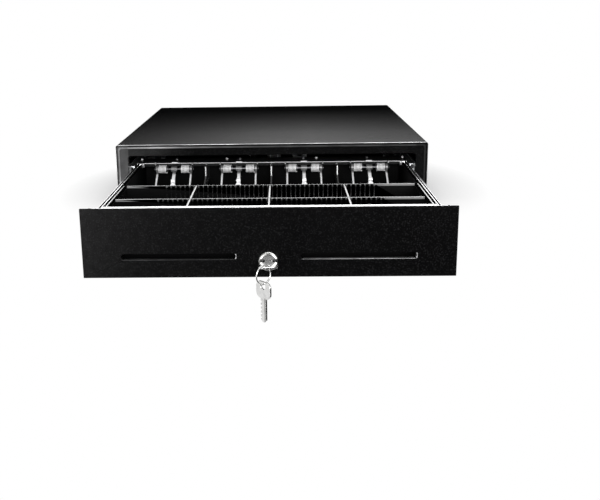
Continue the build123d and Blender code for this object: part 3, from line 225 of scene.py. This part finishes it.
# Boards: they only show in gloss, as a photographer stands them round a shiny object.
# The rear one is black below and brightens upwards, so the flat black top fades towards
# the rear and the low rims shine. The front and side ones are black.
board = Finish("black_board")
board_shader = board.add("ShaderNodeBsdfDiffuse", {}, {"Color": (0.004, 0.004, 0.004, 1.0)})
board.add("ShaderNodeOutputMaterial", {}, {"Surface": board_shader})
dim_low = 0.2
dim_rise = 0.12
dim_glow = 0.41
bright_low = 0.345
bright_high = 0.62
bright_soft = 0.04
bright_glow = 3.4
left_start = 0.1
left_loss = 0.6
right_start = 0.2
right_loss = 0.25
side_fade = 0.6
graded = Finish("graded_board")
height = graded.axis("Z")
across = graded.axis("X")
dim_band = ((height - dim_low) / dim_rise).clamp() * dim_glow
bright_band = graded.within(height, bright_low, bright_high, bright_soft) * bright_glow
left_fall = 1.0 - ((left_start - across) / side_fade).clamp() * left_loss
right_fall = 1.0 - ((across - right_start) / side_fade).clamp() * right_loss
glow = (dim_band * left_fall * right_fall) + bright_band
graded_light = graded.add(
    "ShaderNodeEmission", {}, {"Color": (1.0, 1.0, 1.0, 1.0), "Strength": glow}
)
graded.add("ShaderNodeOutputMaterial", {}, {"Surface": graded_light})
board_side = 2.4
rear_board_y = 1.1
rear_board_low = 0.002
rear_board_high = 1.3
rear_board = (
    (-board_side, rear_board_y, rear_board_low),
    (board_side, rear_board_y, rear_board_low),
    (board_side, rear_board_y, rear_board_high),
    (-board_side, rear_board_y, rear_board_high),
)
front_board_z = -0.35
front_board_left = -0.5
front_board_far = -3.2
front_board_near = -0.75
front_board = (
    (front_board_left, front_board_far, front_board_z),
    (board_side, front_board_far, front_board_z),
    (board_side, front_board_near, front_board_z),
    (front_board_left, front_board_near, front_board_z),
)
side_board_x = 1.0
side_board_far = -1.6
side_board_near = -0.1
side_board_low = -1.2
side_board_high = 0.06
side_board = (
    (side_board_x, side_board_far, side_board_low),
    (side_board_x, side_board_near, side_board_low),
    (side_board_x, side_board_near, side_board_high),
    (side_board_x, side_board_far, side_board_high),
)
for name, corners, material in (
    ("rear_board", rear_board, graded.material),
    ("front_board", front_board, board.material),
    ("side_board", side_board, board.material),
):
    dark = card(name, corners, material)
    dark.visible_camera = False
    dark.visible_diffuse = False
    dark.visible_transmission = False
    dark.visible_shadow = False


# Lamps: soft boxes above, to the left and in front. Each has a brightness on a scale where
# one is white.
def soft_box(name, place, target, size, brightness):
    """A soft box that faces its target."""
    box_light = bpy.data.lights.new(name, "AREA")
    box_light.shape = "RECTANGLE"
    box_light.size, box_light.size_y = size
    box_light.energy = brightness * math.pi * size[0] * size[1]
    lamp = bpy.data.objects.new(name, box_light)
    lamp.location = place
    lamp.rotation_euler = (Vector(target) - Vector(place)).to_track_quat("-Z", "Y").to_euler()
    bpy.context.collection.objects.link(lamp)


soft_box("overhead_box", (0.05, -0.45, 1.4), (0.05, -0.3, 0.0), (1.2, 0.5), 3.5)
soft_box("left_box", (-0.85, -1.9, -0.3), (-0.2, -0.45, 0.05), (0.5, 0.5), 5.0)
soft_box("front_box", (0.2, -2.0, 0.5), (0.0, -0.25, 0.06), (1.2, 0.6), 13.0)


# Case: sheet steel folded into the top and the sides, in a black powder coat with a fine
# grain. Its front folds carry painted highlights, and its top a painted sheen.
# the grey of the painted highlights on the black coats' edges
highlight_grey = (0.82, 0.82, 0.83)


def tint(shade, share):
    """A shade made darker or lighter."""
    return tuple(share * part for part in shade)


def powder_coat(name, shade, gloss, shine, grain, edge_highlight, sheen=None, polish=0.6):
    """Black coat with a painted highlight of grey steel, and painted sheen if given."""
    coat = Finish(name)
    peel = coat.noise(620.0, 2.0, 0.6)
    fleck = ((coat.noise(900.0, 1.0) - 0.55) * 6.0).clamp()
    cloud = coat.noise(14.0, 3.0)
    colour = coat.blend(cloud, tint(shade, 0.7), tint(shade, 1.3))
    colour = coat.blend(fleck, colour, tint(shade, 5.0))
    # painted highlight: where this mask is high the coat is painted grey steel
    painted_highlight = edge_highlight(coat)
    sockets = {
        "Base Color": coat.blend(painted_highlight, colour, highlight_grey),
        "Metallic": painted_highlight * polish,
        "Roughness": gloss + peel * 0.06,
        "Specular IOR Level": shine,
        "Normal": coat.bump(peel, grain, 0.5),
    }
    if sheen is None:
        return coat.close(sockets)
    shiny = coat.add("ShaderNodeBsdfPrincipled", {}, sockets)
    return coat.cover((sheen(coat) + painted_highlight).clamp(), coat.glossless(colour), shiny)


def dress(material, *names):
    """Gives CAD nodes their finish."""
    for name in names:
        nodes[name].data.materials.clear()
        nodes[name].data.materials.append(material)


def plain_mesh(piece):
    """Turns a piece's modifiers into a mesh of its own."""
    finished = piece.evaluated_get(bpy.context.evaluated_depsgraph_get())
    solid = bpy.data.meshes.new_from_object(finished)
    piece.modifiers.clear()
    piece.data = solid


def soften(node, body, material, radius, segments=2):
    """Replaces a CAD node with a copy of it whose edges are rounded a little."""
    mesh = nodes[node].data.copy()
    mesh.materials.clear()
    mesh.materials.append(material)
    if mesh.has_custom_normals:
        mesh.attributes.remove(mesh.attributes["custom_normal"])
    work = bmesh.new()
    work.from_mesh(mesh)
    bmesh.ops.remove_doubles(work, verts=work.verts, dist=0.000002)
    bmesh.ops.dissolve_limit(
        work,
        angle_limit=math.radians(0.5),
        verts=work.verts,
        edges=work.edges,
        delimit={"NORMAL"},
    )
    for face in work.faces:
        face.smooth = True
    work.to_mesh(mesh)
    work.free()
    piece = bpy.data.objects.new(f"{node}_softened", mesh)
    bpy.context.collection.objects.link(piece)
    rounding = piece.modifiers.new("rounded_edges", "BEVEL")
    rounding.width = radius
    rounding.segments = segments
    rounding.limit_method = "ANGLE"
    rounding.angle_limit = math.radians(38.0)
    rounding.use_clamp_overlap = False
    flattening = piece.modifiers.new("flat_faces", "WEIGHTED_NORMAL")
    flattening.weight = 100
    plain_mesh(piece)
    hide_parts(node)
    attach(piece, body)


fold_y = -0.2066
fold_side = 0.2042
fold_top = 0.0992
fold_soft = 0.0004


def fold_highlight(coat):
    """Painted highlight of grey steel along the case's front folds, mottled."""
    front = ((fold_y - coat.axis("Y")) / fold_soft).clamp()
    top = ((coat.axis("Z") - fold_top) / fold_soft).clamp()
    side = ((coat.axis("X").sum("ABSOLUTE") - fold_side) / fold_soft).clamp()
    return front * (top + side).clamp() * (coat.noise(22.0, 2.0) * 1.3)


# painted sheen on the case's top: where it fades, and what it loses at either side
sheen_rear = 0.157
sheen_depth = 0.27
sheen_left = -0.02
sheen_left_fade = 0.18
sheen_left_loss = 0.65
sheen_right = 0.05
sheen_right_fade = 0.15
sheen_right_loss = 0.28


def top_painted_sheen(coat):
    """Painted sheen, strongest towards the front and the middle, weaker at the rear."""
    frontwards = ((sheen_rear - coat.axis("Y")) / sheen_depth).clamp()
    across = coat.axis("X")
    leftwards = ((sheen_left - across) / sheen_left_fade).clamp()
    rightwards = ((across - sheen_right) / sheen_right_fade).clamp()
    sideways = (1.0 - leftwards * sheen_left_loss) * (1.0 - rightwards * sheen_right_loss)
    mottle = coat.noise(150.0, 3.0, 0.6) * 0.5 + 0.75
    return frontwards * sideways * mottle


case_coat = ((0.003, 0.0031, 0.0032), 0.07, 0.06, 0.000008)
case_black = powder_coat("case_coat", *case_coat, fold_highlight, top_painted_sheen)
soften("case_shell", "case", case_black, 0.0004)

# Front frame and rear panel: the frame is a steel ring round the opening, pressed with a
# raised bead. The bead's crest and the left edge carry painted highlights, and the frame a
# painted sheen. Both have the case's black coat.
bead_front = -0.2063
bead_soft = 0.0002
frame_edge = 0.188
edge_fade = 0.002
left_band_fade = 0.001
crest_left = -0.02
crest_fade = 0.16
corner_start = -0.1
corner_fade = 0.08
corner_sheen_fade = 0.1


def bead_highlight(coat):
    """Painted highlight on the bead's crest, stronger leftwards, and on the left edge."""
    across = coat.axis("X")
    proud = ((bead_front - coat.axis("Y")) / bead_soft).clamp()
    leftwards = ((crest_left - across) / crest_fade).clamp()
    beside = ((across.sum("ABSOLUTE") - frame_edge) / edge_fade).clamp()
    left_band = ((-frame_edge - across) / left_band_fade).clamp()
    corner = ((corner_start - across) / corner_fade).clamp()
    highlight_mottle = coat.noise(30.0, 2.0)
    crest = proud * (0.2 + leftwards * 0.6) * (1.0 - beside * 0.6)
    return ((crest + left_band * 0.13 + corner * 0.06) * highlight_mottle).clamp()


def frame_sheen(coat):
    """Painted sheen, mottled, and stronger towards the left corner."""
    corner = ((corner_start - coat.axis("X")) / corner_sheen_fade).clamp()
    return (0.4 + coat.noise(90.0, 3.0) * 0.2) + corner * 0.3


frame_coat = ((0.003, 0.003, 0.0031), 0.22, 0.07, 0.00003)
frame_black = powder_coat("frame_coat", *frame_coat, bead_highlight, frame_sheen)
soften("front_frame", "case", frame_black, 0.0004)
dress(case_black, "rear_panel")


# Base plate, slides and brackets: bright zinc-plated steel, with the faint streaks of the
# rolled sheet and the mottle of the plating.
dull_below = 0.069
dull_fade = 0.001


def zinc_plate(name, shade, roughness, streak, seam=None):
    """Plated sheet; with a seam mask, painted shade there, and duller below the rim."""
    plate = Finish(name)
    rolled = plate.noise(1.0, 3.0, 0.5, streak)
    mottle = plate.noise(60.0, 4.0)
    colour = plate.blend(mottle, tint(shade, 0.8), shade)
    sockets = {
        "Base Color": colour,
        "Metallic": 1.0,
        "Roughness": roughness + rolled * 0.14,
        "Normal": plate.bump(rolled, 0.00002, 0.4),
    }
    if seam is None:
        return plate.close(sockets)
    low = ((dull_below - plate.axis("Z")) / dull_fade).clamp()
    dull = plate.blend(mottle, (0.3, 0.3, 0.305), (0.5, 0.505, 0.51))
    sockets["Base Color"] = plate.blend(low, colour, dull)
    clean = plate.add("ShaderNodeBsdfPrincipled", {}, sockets)
    # painted shade, near black and without shine, in the hems' seam
    seam_shade_colour = plate.blend(mottle, (0.004, 0.004, 0.004), (0.012, 0.012, 0.012))
    return plate.cover(seam(plate), clean, plate.glossless(seam_shade_colour))


slide_zinc = zinc_plate("slide_zinc", (0.62, 0.63, 0.64), 0.24, (700.0, 12.0, 700.0))
dress(
    slide_zinc,
    "base_plate",
    "right_slide_bracket",
    "left_slide_bracket",
    "right_slide_outer",
    "left_slide_outer",
    "right_slide_middle",
    "left_slide_middle",
    "right_slide_inner",
    "left_slide_inner",
)


# Ball cages: thin strips of oiled steel with polished balls held in them, which run
# between the members of a slide.
def oiled_steel(name, shade, roughness):
    steel = Finish(name)
    smear = steel.noise(140.0, 3.0)
    colour = steel.blend(smear, tint(shade, 0.65), shade)
    return steel.close(
        {
            "Base Color": colour,
            "Metallic": 1.0,
            "Roughness": roughness + smear * 0.16,
            "Normal": steel.bump(steel.noise(900.0, 2.0), 0.00001, 0.4),
        }
    )


cage_steel = oiled_steel("cage_steel", (0.16, 0.16, 0.165), 0.28)
dress(
    cage_steel,
    "right_outer_cage",
    "left_outer_cage",
    "right_inner_cage",
    "left_inner_cage",
)

# Rubber feet: moulded black rubber with a dull bloom. Each is pushed up into the base
# plate.
rubber = Finish("foot_rubber")
bloom = rubber.noise(60.0, 4.0)
foot_rubber = rubber.close(
    {
        "Base Color": rubber.blend(bloom, (0.014, 0.014, 0.014), (0.04, 0.039, 0.038)),
        "Roughness": 0.7 + bloom * 0.2,
        "Specular IOR Level": 0.3,
        "Normal": rubber.bump(rubber.noise(1400.0, 2.0), 0.00004, 0.5),
    }
)
dress(foot_rubber, "rubber_feet")

# Drawer pan: folded from one bright zinc-plated sheet. Its hemmed sides and the flange
# behind the fascia are the drawer's brightest parts; the hems' seams hold painted shade.
hem_inner = 0.1769
hem_outer = 0.1792
hem_top = 0.0704
seam_soft = 0.0002
hem_soft = 0.0003


def hem_seam_shade(plate):
    """Painted shade in the seam where the sides' upper edge is folded back."""
    across = plate.axis("X").sum("ABSOLUTE")
    top = ((plate.axis("Z") - hem_top) / hem_soft).clamp()
    return plate.within(across, hem_inner, hem_outer, seam_soft) * top


pan_zinc = zinc_plate("pan_zinc", (0.92, 0.92, 0.93), 0.2, (24.0, 420.0, 420.0), hem_seam_shade)
soften("drawer_pan", "drawer", pan_zinc, 0.0003)

# Fascia: the drawer's front plate, in the case's coat. Its two slots carry painted
# highlights on their lower lips and right ends, and the coat a painted sheen on the left.
slot_low = 0.0295
slot_high = 0.0355
slot_centre = 0.09
slot_half = 0.0575
slot_soft = 0.001
lip_below = 0.0005
lip_above = 0.0001
lip_soft = 0.0002
lip_middle = 0.02
end_inside = 0.0012
end_outside = 0.0005
end_soft = 0.0003


def lip_highlight(coat):
    """Painted highlight: lower lips, weaker leftwards, and the slots' right ends."""
    across = coat.axis("X")
    height = coat.axis("Z")
    from_centre = across.sum("ABSOLUTE") - slot_centre
    along = coat.within(from_centre, -slot_half, slot_half, slot_soft)
    low = coat.within(height, slot_low - lip_below, slot_low + lip_above, lip_soft)
    right = ((across + lip_middle) / lip_middle).clamp() * 0.55 + 0.1
    highlight_mottle = (coat.noise(90.0, 3.0) * 1.2 + 0.25).clamp()
    tall = coat.within(height, slot_low, slot_high, slot_soft)
    ends = 0.0
    for centre in (-slot_centre, slot_centre):
        end = across - (centre + slot_half)
        ends = ends + coat.within(end, -end_inside, end_outside, end_soft)
    return (along * low * highlight_mottle * right + ends * tall * 0.8).clamp()


# painted sheen on the fascia: where it grows towards the left
fascia_sheen_start = 0.02
fascia_sheen_fade = 0.2


def fascia_painted_sheen(coat):
    """Painted sheen: blotchy leftwards, duller from the middle to the right."""
    leftwards = ((fascia_sheen_start - coat.axis("X")) / fascia_sheen_fade).clamp()
    blotch = coat.noise(120.0, 4.0, 0.65)
    return 0.1 + blotch * 0.05 + leftwards * (0.1 + blotch * 1.1)


fascia_coat = ((0.0022, 0.0022, 0.0023), 0.26, 0.12, 0.00006)
fascia_black = powder_coat("fascia_coat", *fascia_coat, lip_highlight, fascia_painted_sheen)
soften("fascia", "drawer", fascia_black, 0.0005)


# Lock: a nickel-plated cam lock with a rough plug, held by a thin nut inside the pan. The
# nut and the cam are of plated steel.
def nickel_plate(name, shade, roughness, scratch_depth, polish=1.0, groove_shade=None):
    """Nickel plating, with painted groove shade where that mask is given."""
    nickel = Finish(name)
    scratch = nickel.noise(1.0, 2.0, 0.5, (900.0, 160.0, 420.0))
    tarnish = nickel.noise(260.0, 4.0, 0.6)
    colour = nickel.blend(tarnish, tint(shade, 0.6), shade)
    if groove_shade is not None:
        colour = nickel.blend(groove_shade(nickel), colour, tint(shade, 0.3))
    return nickel.close(
        {
            "Base Color": colour,
            "Metallic": polish,
            "Roughness": roughness + scratch * 0.14,
            "Normal": nickel.bump(scratch, scratch_depth, 0.4),
        }
    )


bezel_nickel = nickel_plate("bezel_nickel", (0.3, 0.3, 0.295), 0.12, 0.00001)
soften("lock_body", "drawer", bezel_nickel, 0.0005, 3)
plug_nickel = nickel_plate("plug_nickel", (0.08, 0.08, 0.08), 0.34, 0.00006, 0.6)
dress(plug_nickel, "lock_plug")
dress(slide_zinc, "lock_nut", "lock_cam")

# Keys: two flat keys stamped from nickel-plated brass, one in the lock and one hanging
# from it on a wire ring.
key_centre = -0.0045
bow_foot = -0.0015
bow_fade = 0.002
groove_place = 0.001
groove_half = 0.0007
groove_soft = 0.0002


def blade_groove_shade(nickel):
    """Painted groove shade along the hanging key's blade, and clouds of tarnish."""
    across = nickel.axis("X") - (key_centre + groove_place)
    groove = nickel.within(across, -groove_half, groove_half, groove_soft)
    cloud = ((nickel.noise(170.0, 3.0) - 0.52) * 2.5).clamp()
    low = ((bow_foot - nickel.axis("Z")) / bow_fade).clamp()
    return (groove * low * 0.9 + cloud * 0.45).clamp()


key_plating = ((0.86, 0.86, 0.85), 0.14, 0.00003)
key_nickel = nickel_plate("key_nickel", *key_plating)
hanging_nickel = nickel_plate("hanging_nickel", *key_plating, groove_shade=blade_groove_shade)
soften("inserted_key", "lock_barrel", key_nickel, 0.0004)
soften("hanging_key", "second_key", hanging_nickel, 0.0004)
dress(key_nickel, "key_ring")


# Note tray: black moulded plastic, dull inside, with painted highlights on its rims and
# dividers and painted shade on its side walls' tops. The coin tray drops into its well.
outer_cup = 0.115
outer_cup_fade = 0.02
outer_cup_highlight = 3.0
highlight_share = 0.25


def moulded_black(name, shade, roughness, shine, rim_highlight=None, matt=None):
    """Black plastic, and if masks are given, painted highlight and painted shade."""
    plastic = Finish(name)
    grain = plastic.noise(1500.0, 2.0)
    cloud = plastic.noise(30.0, 3.0)
    sockets = {
        "Base Color": plastic.blend(cloud, tint(shade, 0.7), tint(shade, 1.4)),
        "Roughness": roughness + grain * 0.12,
        "Specular IOR Level": shine,
        "Normal": plastic.bump(grain, 0.00002, 0.4),
    }
    if rim_highlight is None:
        return plastic.close(sockets)
    body = plastic.add("ShaderNodeBsdfPrincipled", {}, sockets)
    # painted highlight: the rims' grey, shiny shader, brighter towards the outer cups
    outwards = plastic.axis("X").sum("ABSOLUTE") - outer_cup
    outer_cups = (outwards / outer_cup_fade).clamp()
    highlight_tone = (cloud + outer_cups * outer_cup_highlight) * highlight_share
    sockets["Base Color"] = plastic.blend(highlight_tone, (0.02, 0.02, 0.02), (0.3, 0.3, 0.3))
    sockets["Roughness"] = 0.14 + grain * 0.06
    sockets["Specular IOR Level"] = 1.0
    rim = plastic.add("ShaderNodeBsdfPrincipled", {}, sockets)
    worn = plastic.add("ShaderNodeMixShader", {}, {0: rim_highlight(plastic), 1: body, 2: rim})
    return plastic.cover(matt(plastic), worn, plastic.glossless((*shade, 1.0)))


note_rim = 0.0702
bay_pitch = 0.0866
rim_soft = 0.0003
divider_half = 0.0012
divider_soft = 0.0002
divider_low = 0.044
divider_fade = 0.001


def note_rims(plastic):
    """Painted highlight on the tray's rim and its three dividers."""
    across = plastic.axis("X").sum("ABSOLUTE")
    middle = ((divider_half - across) / divider_soft).clamp()
    outer = ((divider_half - (across - bay_pitch).sum("ABSOLUTE")) / divider_soft).clamp()
    height = plastic.axis("Z")
    rim = ((height - note_rim) / rim_soft).clamp()
    above_floor = ((height - divider_low) / divider_fade).clamp()
    return ((middle + outer) * above_floor + rim).clamp()


note_side = 0.172
matt_depth = 0.001


def note_painted_shade(plastic):
    """Painted shade on the tops of the side walls."""
    beside = ((plastic.axis("X").sum("ABSOLUTE") - note_side) / rim_soft).clamp()
    return beside * ((plastic.axis("Z") - note_rim + matt_depth) / rim_soft).clamp()


note_black = (0.0016, 0.0016, 0.0017)
note_plastic = moulded_black(
    "note_tray_plastic", note_black, 0.5, 0.05, note_rims, note_painted_shade
)
soften("note_tray", "drawer", note_plastic, 0.0004)

# Coin tray and its six loose dividers: glossy black moulded plastic with painted
# highlights on the rims and painted shade on the side rims' inner part. The whole tray
# lifts out of the drawer.
coin_rim = 0.0685


def coin_rims(plastic):
    """Painted highlight on the upper edges of the coin tray and its dividers."""
    return ((plastic.axis("Z") - coin_rim) / rim_soft).clamp()


coin_side = (0.1685, 0.1719)


def coin_painted_shade(plastic):
    """Painted shade on the inner part of the side rims."""
    beside = plastic.within(plastic.axis("X").sum("ABSOLUTE"), *coin_side, rim_soft)
    return beside * coin_rims(plastic)


coin_black = (0.0022, 0.0022, 0.0023)
coin_plastic = moulded_black(
    "coin_tray_plastic", coin_black, 0.14, 0.5, coin_rims, coin_painted_shade
)
soften("coin_tray", "coin_insert", coin_plastic, 0.0003)
soften("front_coin_dividers", "coin_insert", coin_plastic, 0.0004)
soften("rear_coin_dividers", "coin_insert", coin_plastic, 0.0004)

# Cable socket and microswitch: moulded black plastic, the one in the rear panel and the
# other beside the latch.
electric_plastic = moulded_black("electric_plastic", (0.008, 0.008, 0.0082), 0.45, 0.3)
dress(electric_plastic, "cable_socket", "microswitch")

# Clip rail: a strip of black-coated steel across the rear of the pan. Its cut front edge
# has a painted highlight of grey steel, and the corner brackets at its ends are plated
# like the pan.
rail_edge_y = -0.1884
rail_edge_z = 0.0712
rail_soft = 0.0003


def rail_edge_highlight(coat):
    """Painted highlight on the upper part of the cut front edge."""
    front = ((rail_edge_y - coat.axis("Y")) / rail_soft).clamp()
    high = ((coat.axis("Z") - rail_edge_z) / rail_soft).clamp()
    return front * high


rail_coat = ((0.008, 0.008, 0.0082), 0.3, 0.12, 0.00006)
rail_black = powder_coat("rail_coat", *rail_coat, rail_edge_highlight, polish=0.2)
soften("clip_rail", "drawer", rail_black, 0.0003)
soften("corner_brackets", "drawer", pan_zinc, 0.0002)


# Screws: pan heads with a cross recess, in bright zinc or black oxide. Each one stands
# where it is turned in, with its recess at an angle of its own. The bracket screws and the
# cam's screw keep their CAD heads.
class Growth(Finish):
    """A Geometry Nodes tree with named inputs, for pieces that repeat."""

    def __init__(self, name, inputs):
        super().__init__(name, bpy.data.node_groups.new(name, "GeometryNodeTree"))
        kinds = {"Places": "NodeSocketGeometry", "Material": "NodeSocketMaterial"}
        kinds.update(inputs)
        face = self.tree.interface
        face.new_socket("Geometry", in_out="OUTPUT", socket_type="NodeSocketGeometry")
        self.identifiers = {
            label: face.new_socket(label, in_out="INPUT", socket_type=kind).identifier
            for label, kind in kinds.items()
        }
        self.start = self.tree.nodes.new("NodeGroupInput")

    def given(self, label):
        return Socket(self, self.start.outputs[label])

    def scatter(self, shape, seed):
        """Sets the shape on each place, turned as asked and spun at random."""
        sockets = {"Points": self.given("Places"), "Instance": shape}
        sockets["Rotation"] = self.given("Turn")
        set_up = self.add("GeometryNodeInstanceOnPoints", {}, sockets)
        settings = {"data_type": "FLOAT_VECTOR"}
        spin = {0: (0.0, 0.0, 0.0), 1: self.given("Spin"), "Seed": seed}
        angle = self.add("FunctionNodeRandomValue", settings, spin)
        sockets = {"Instances": set_up, "Rotation": angle}
        spun = self.add("GeometryNodeRotateInstances", {}, sockets)
        whole = self.add("GeometryNodeRealizeInstances", {}, {"Geometry": spun})
        sockets = {"Geometry": whole, "Material": self.given("Material")}
        dressed = self.add("GeometryNodeSetMaterial", {}, sockets)
        self.add("NodeGroupOutput", {}, {"Geometry": dressed})

    def plant(self, node, body, places, values):
        """Grows the pieces at their places, as one plain mesh for the CAD node."""
        mesh = bpy.data.meshes.new(f"{node}_places")
        mesh.from_pydata(places, [], [])
        piece = bpy.data.objects.new(f"{node}_grown", mesh)
        bpy.context.collection.objects.link(piece)
        growth = piece.modifiers.new("growth", "NODES")
        growth.node_group = self.tree
        for label, value in values.items():
            growth[self.identifiers[label]] = value
        plain_mesh(piece)
        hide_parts(node)
        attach(piece, body)


screw = Growth(
    "pan_head_screw",
    {
        "Turn": "NodeSocketRotation",
        "Spin": "NodeSocketVector",
        "Head Radius": "NodeSocketFloat",
        "Head Height": "NodeSocketFloat",
        "Recess Width": "NodeSocketFloat",
    },
)
head_sides = 40
barrel_share = 0.55
crown_share = 0.45
crown_narrowing = 0.72
recess_length = 1.1
recess_lift = 1.05
head_radius = screw.given("Head Radius")
head_height = screw.given("Head Height")
recess_width = screw.given("Recess Width")
head = screw.add(
    "GeometryNodeMeshCylinder",
    {},
    {"Vertices": head_sides, "Radius": head_radius, "Depth": head_height * barrel_share},
)
crown = screw.add(
    "GeometryNodeMeshCone",
    {},
    {
        "Vertices": head_sides,
        "Radius Bottom": head_radius,
        "Radius Top": head_radius * crown_narrowing,
        "Depth": head_height * crown_share,
    },
)


def raised(growth, shape, height):
    """The shape moved up."""
    lift = growth.add("ShaderNodeCombineXYZ", {}, {"Z": height})
    return growth.add("GeometryNodeTransform", {}, {"Geometry": shape, "Translation": lift})


head = raised(screw, head, head_height * (barrel_share / 2))
crown = raised(screw, crown, head_height * barrel_share)
whole_head = screw.add(
    "GeometryNodeMeshBoolean", {"operation": "UNION", "solver": "EXACT"}, {"Mesh 2": head}
)
union_node = whole_head.value.node
screw.tree.links.new(crown.value, union_node.inputs["Mesh 2"])
for length_axis, width_axis in (("X", "Y"), ("Y", "X")):
    size = {width_axis: recess_width, "Z": head_height}
    size[length_axis] = head_radius * recess_length
    bar = screw.add("ShaderNodeCombineXYZ", {}, size)
    cutter = screw.add("GeometryNodeMeshCube", {}, {"Size": bar})
    cutter = raised(screw, cutter, head_height * recess_lift)
    sockets = {"Mesh 1": whole_head, "Mesh 2": cutter}
    settings = {"operation": "DIFFERENCE", "solver": "EXACT"}
    whole_head = screw.add("GeometryNodeMeshBoolean", settings, sockets)
screw.scatter(whole_head, 7)

screw_zinc = nickel_plate("screw_zinc", (0.95, 0.95, 0.95), 0.3, 0.00001, 0.5)
screw_black = oiled_steel("screw_black", (0.2, 0.2, 0.205), 0.28)
head_up = (0.0, 0.0, 0.0)
head_rearwards = (math.radians(-90.0), 0.0, 0.0)
full_turn = (0.0, 0.0, 2.0 * math.pi)
pan_head = {"Head Radius": 0.0028, "Head Height": 0.0018, "Recess Width": 0.0008}
small_head = {"Head Radius": 0.0019, "Head Height": 0.0018, "Recess Width": 0.0006}
bay_centres = (-0.1299, -0.0433, 0.0433, 0.1299)
rail_screw_y = -0.1625
rail_top = 0.072
rear_panel_y = 0.2075
pan_front_y = -0.4865
fascia_screw_z = 0.0596
for node, body, turn, head_size, material, places in (
    (
        "rail_screws",
        "drawer",
        head_up,
        small_head,
        screw_zinc,
        [(x, rail_screw_y, rail_top) for x in (-0.178, -0.061, 0.061, 0.178)],
    ),
    (
        "clip_screws",
        "drawer",
        head_up,
        pan_head,
        screw_black,
        [(x, rail_screw_y, rail_top) for x in bay_centres],
    ),
    (
        "case_screws",
        "case",
        head_rearwards,
        pan_head,
        screw_black,
        [(x, rear_panel_y, z) for x in (-0.194, 0.194) for z in (0.017, 0.08)],
    ),
    (
        "fascia_screws",
        "drawer",
        head_rearwards,
        pan_head,
        screw_zinc,
        [(x, pan_front_y, fascia_screw_z) for x in (-0.1656, -0.0576, 0.0576, 0.1656)],
    ),
):
    screw.plant(
        node,
        body,
        places,
        {"Turn": turn, "Spin": full_turn, "Material": material, **head_size},
    )
dress(screw_zinc, "bracket_screws", "cam_screw")


# Clips: bails and levers of bright spring steel on dark rods, and two springs for each,
# wound from drawn wire. Painted shade darkens the upper parts of the bails and levers.
# painted shade: how dark the clips' upper parts are painted, and how soft its edge is
upper_shade = 0.85
shade_fade = 0.002


def drawn_wire(name, shade, roughness, polish, shade_from=None):
    """Drawn wire, painted dark as painted shade above the given height, if one is given."""
    wire = Finish(name)
    lines = wire.noise(1.0, 2.0, 0.5, (60.0, 700.0, 700.0))
    colour = wire.blend(lines, tint(shade, 0.85), shade)
    if shade_from is not None:
        high = ((wire.axis("Z") - shade_from) / shade_fade).clamp()
        colour = wire.blend(high * upper_shade, colour, (0.05, 0.05, 0.05))
    return wire.close(
        {
            "Base Color": colour,
            "Metallic": polish,
            "Roughness": roughness + lines * 0.1,
            "Normal": wire.bump(lines, 0.00001, 0.3),
        }
    )


spring_bright = drawn_wire("spring_wire", (0.95, 0.95, 0.95), 0.45, 0.15)
clip_steel = drawn_wire("clip_steel", (0.95, 0.95, 0.96), 0.3, 0.35, 0.058)
rod_steel = drawn_wire("rod_steel", (0.12, 0.12, 0.125), 0.35, 1.0)
dress(rod_steel, "clip_rods")
for number in range(1, 5):
    dress(clip_steel, f"clip_bail_{number}", f"clip_lever_{number}")

coil = Growth(
    "clip_spring",
    {
        "Turn": "NodeSocketRotation",
        "Spin": "NodeSocketVector",
        "Turns": "NodeSocketFloat",
        "Pitch": "NodeSocketFloat",
        "Coil Radius": "NodeSocketFloat",
        "Wire Radius": "NodeSocketFloat",
    },
)
coil_radius = coil.given("Coil Radius")
winding = coil.add(
    "GeometryNodeCurveSpiral",
    {},
    {
        "Resolution": 28,
        "Rotations": coil.given("Turns"),
        "Start Radius": coil_radius,
        "End Radius": coil_radius,
        "Height": coil.given("Turns") * coil.given("Pitch"),
    },
)
wire_round = coil.add(
    "GeometryNodeCurvePrimitiveCircle",
    {},
    {"Resolution": 10, "Radius": coil.given("Wire Radius")},
)
wound = coil.add(
    "GeometryNodeCurveToMesh",
    {},
    {"Curve": winding, "Profile Curve": wire_round, "Fill Caps": True},
)
coil.scatter(wound, 3)
clip_axis_y = -0.1955
clip_axis_z = 0.065
spring_near = 0.0099
spring_length = 0.0105
spring_turns = 6.0
spring_radius = 0.00485
wire_radius = 0.00065
coil.plant(
    "clip_springs",
    "drawer",
    [
        (centre + offset, clip_axis_y, clip_axis_z)
        for centre in bay_centres
        for offset in (-spring_near - spring_length, spring_near)
    ],
    {
        "Turn": (0.0, math.radians(90.0), 0.0),
        "Spin": (0.0, 0.0, 0.0),
        "Material": spring_bright,
        "Turns": spring_turns,
        "Pitch": spring_length / spring_turns,
        "Coil Radius": spring_radius,
        "Wire Radius": wire_radius,
    },
)

# Latch: a bracket, hook, solenoid and eject spring behind the drawer, of plated and
# oiled steel.
dress(slide_zinc, "latch_bracket", "striker")
dress(cage_steel, "latch_pivot", "latch_hook", "solenoid", "solenoid_plunger", "eject_spring")
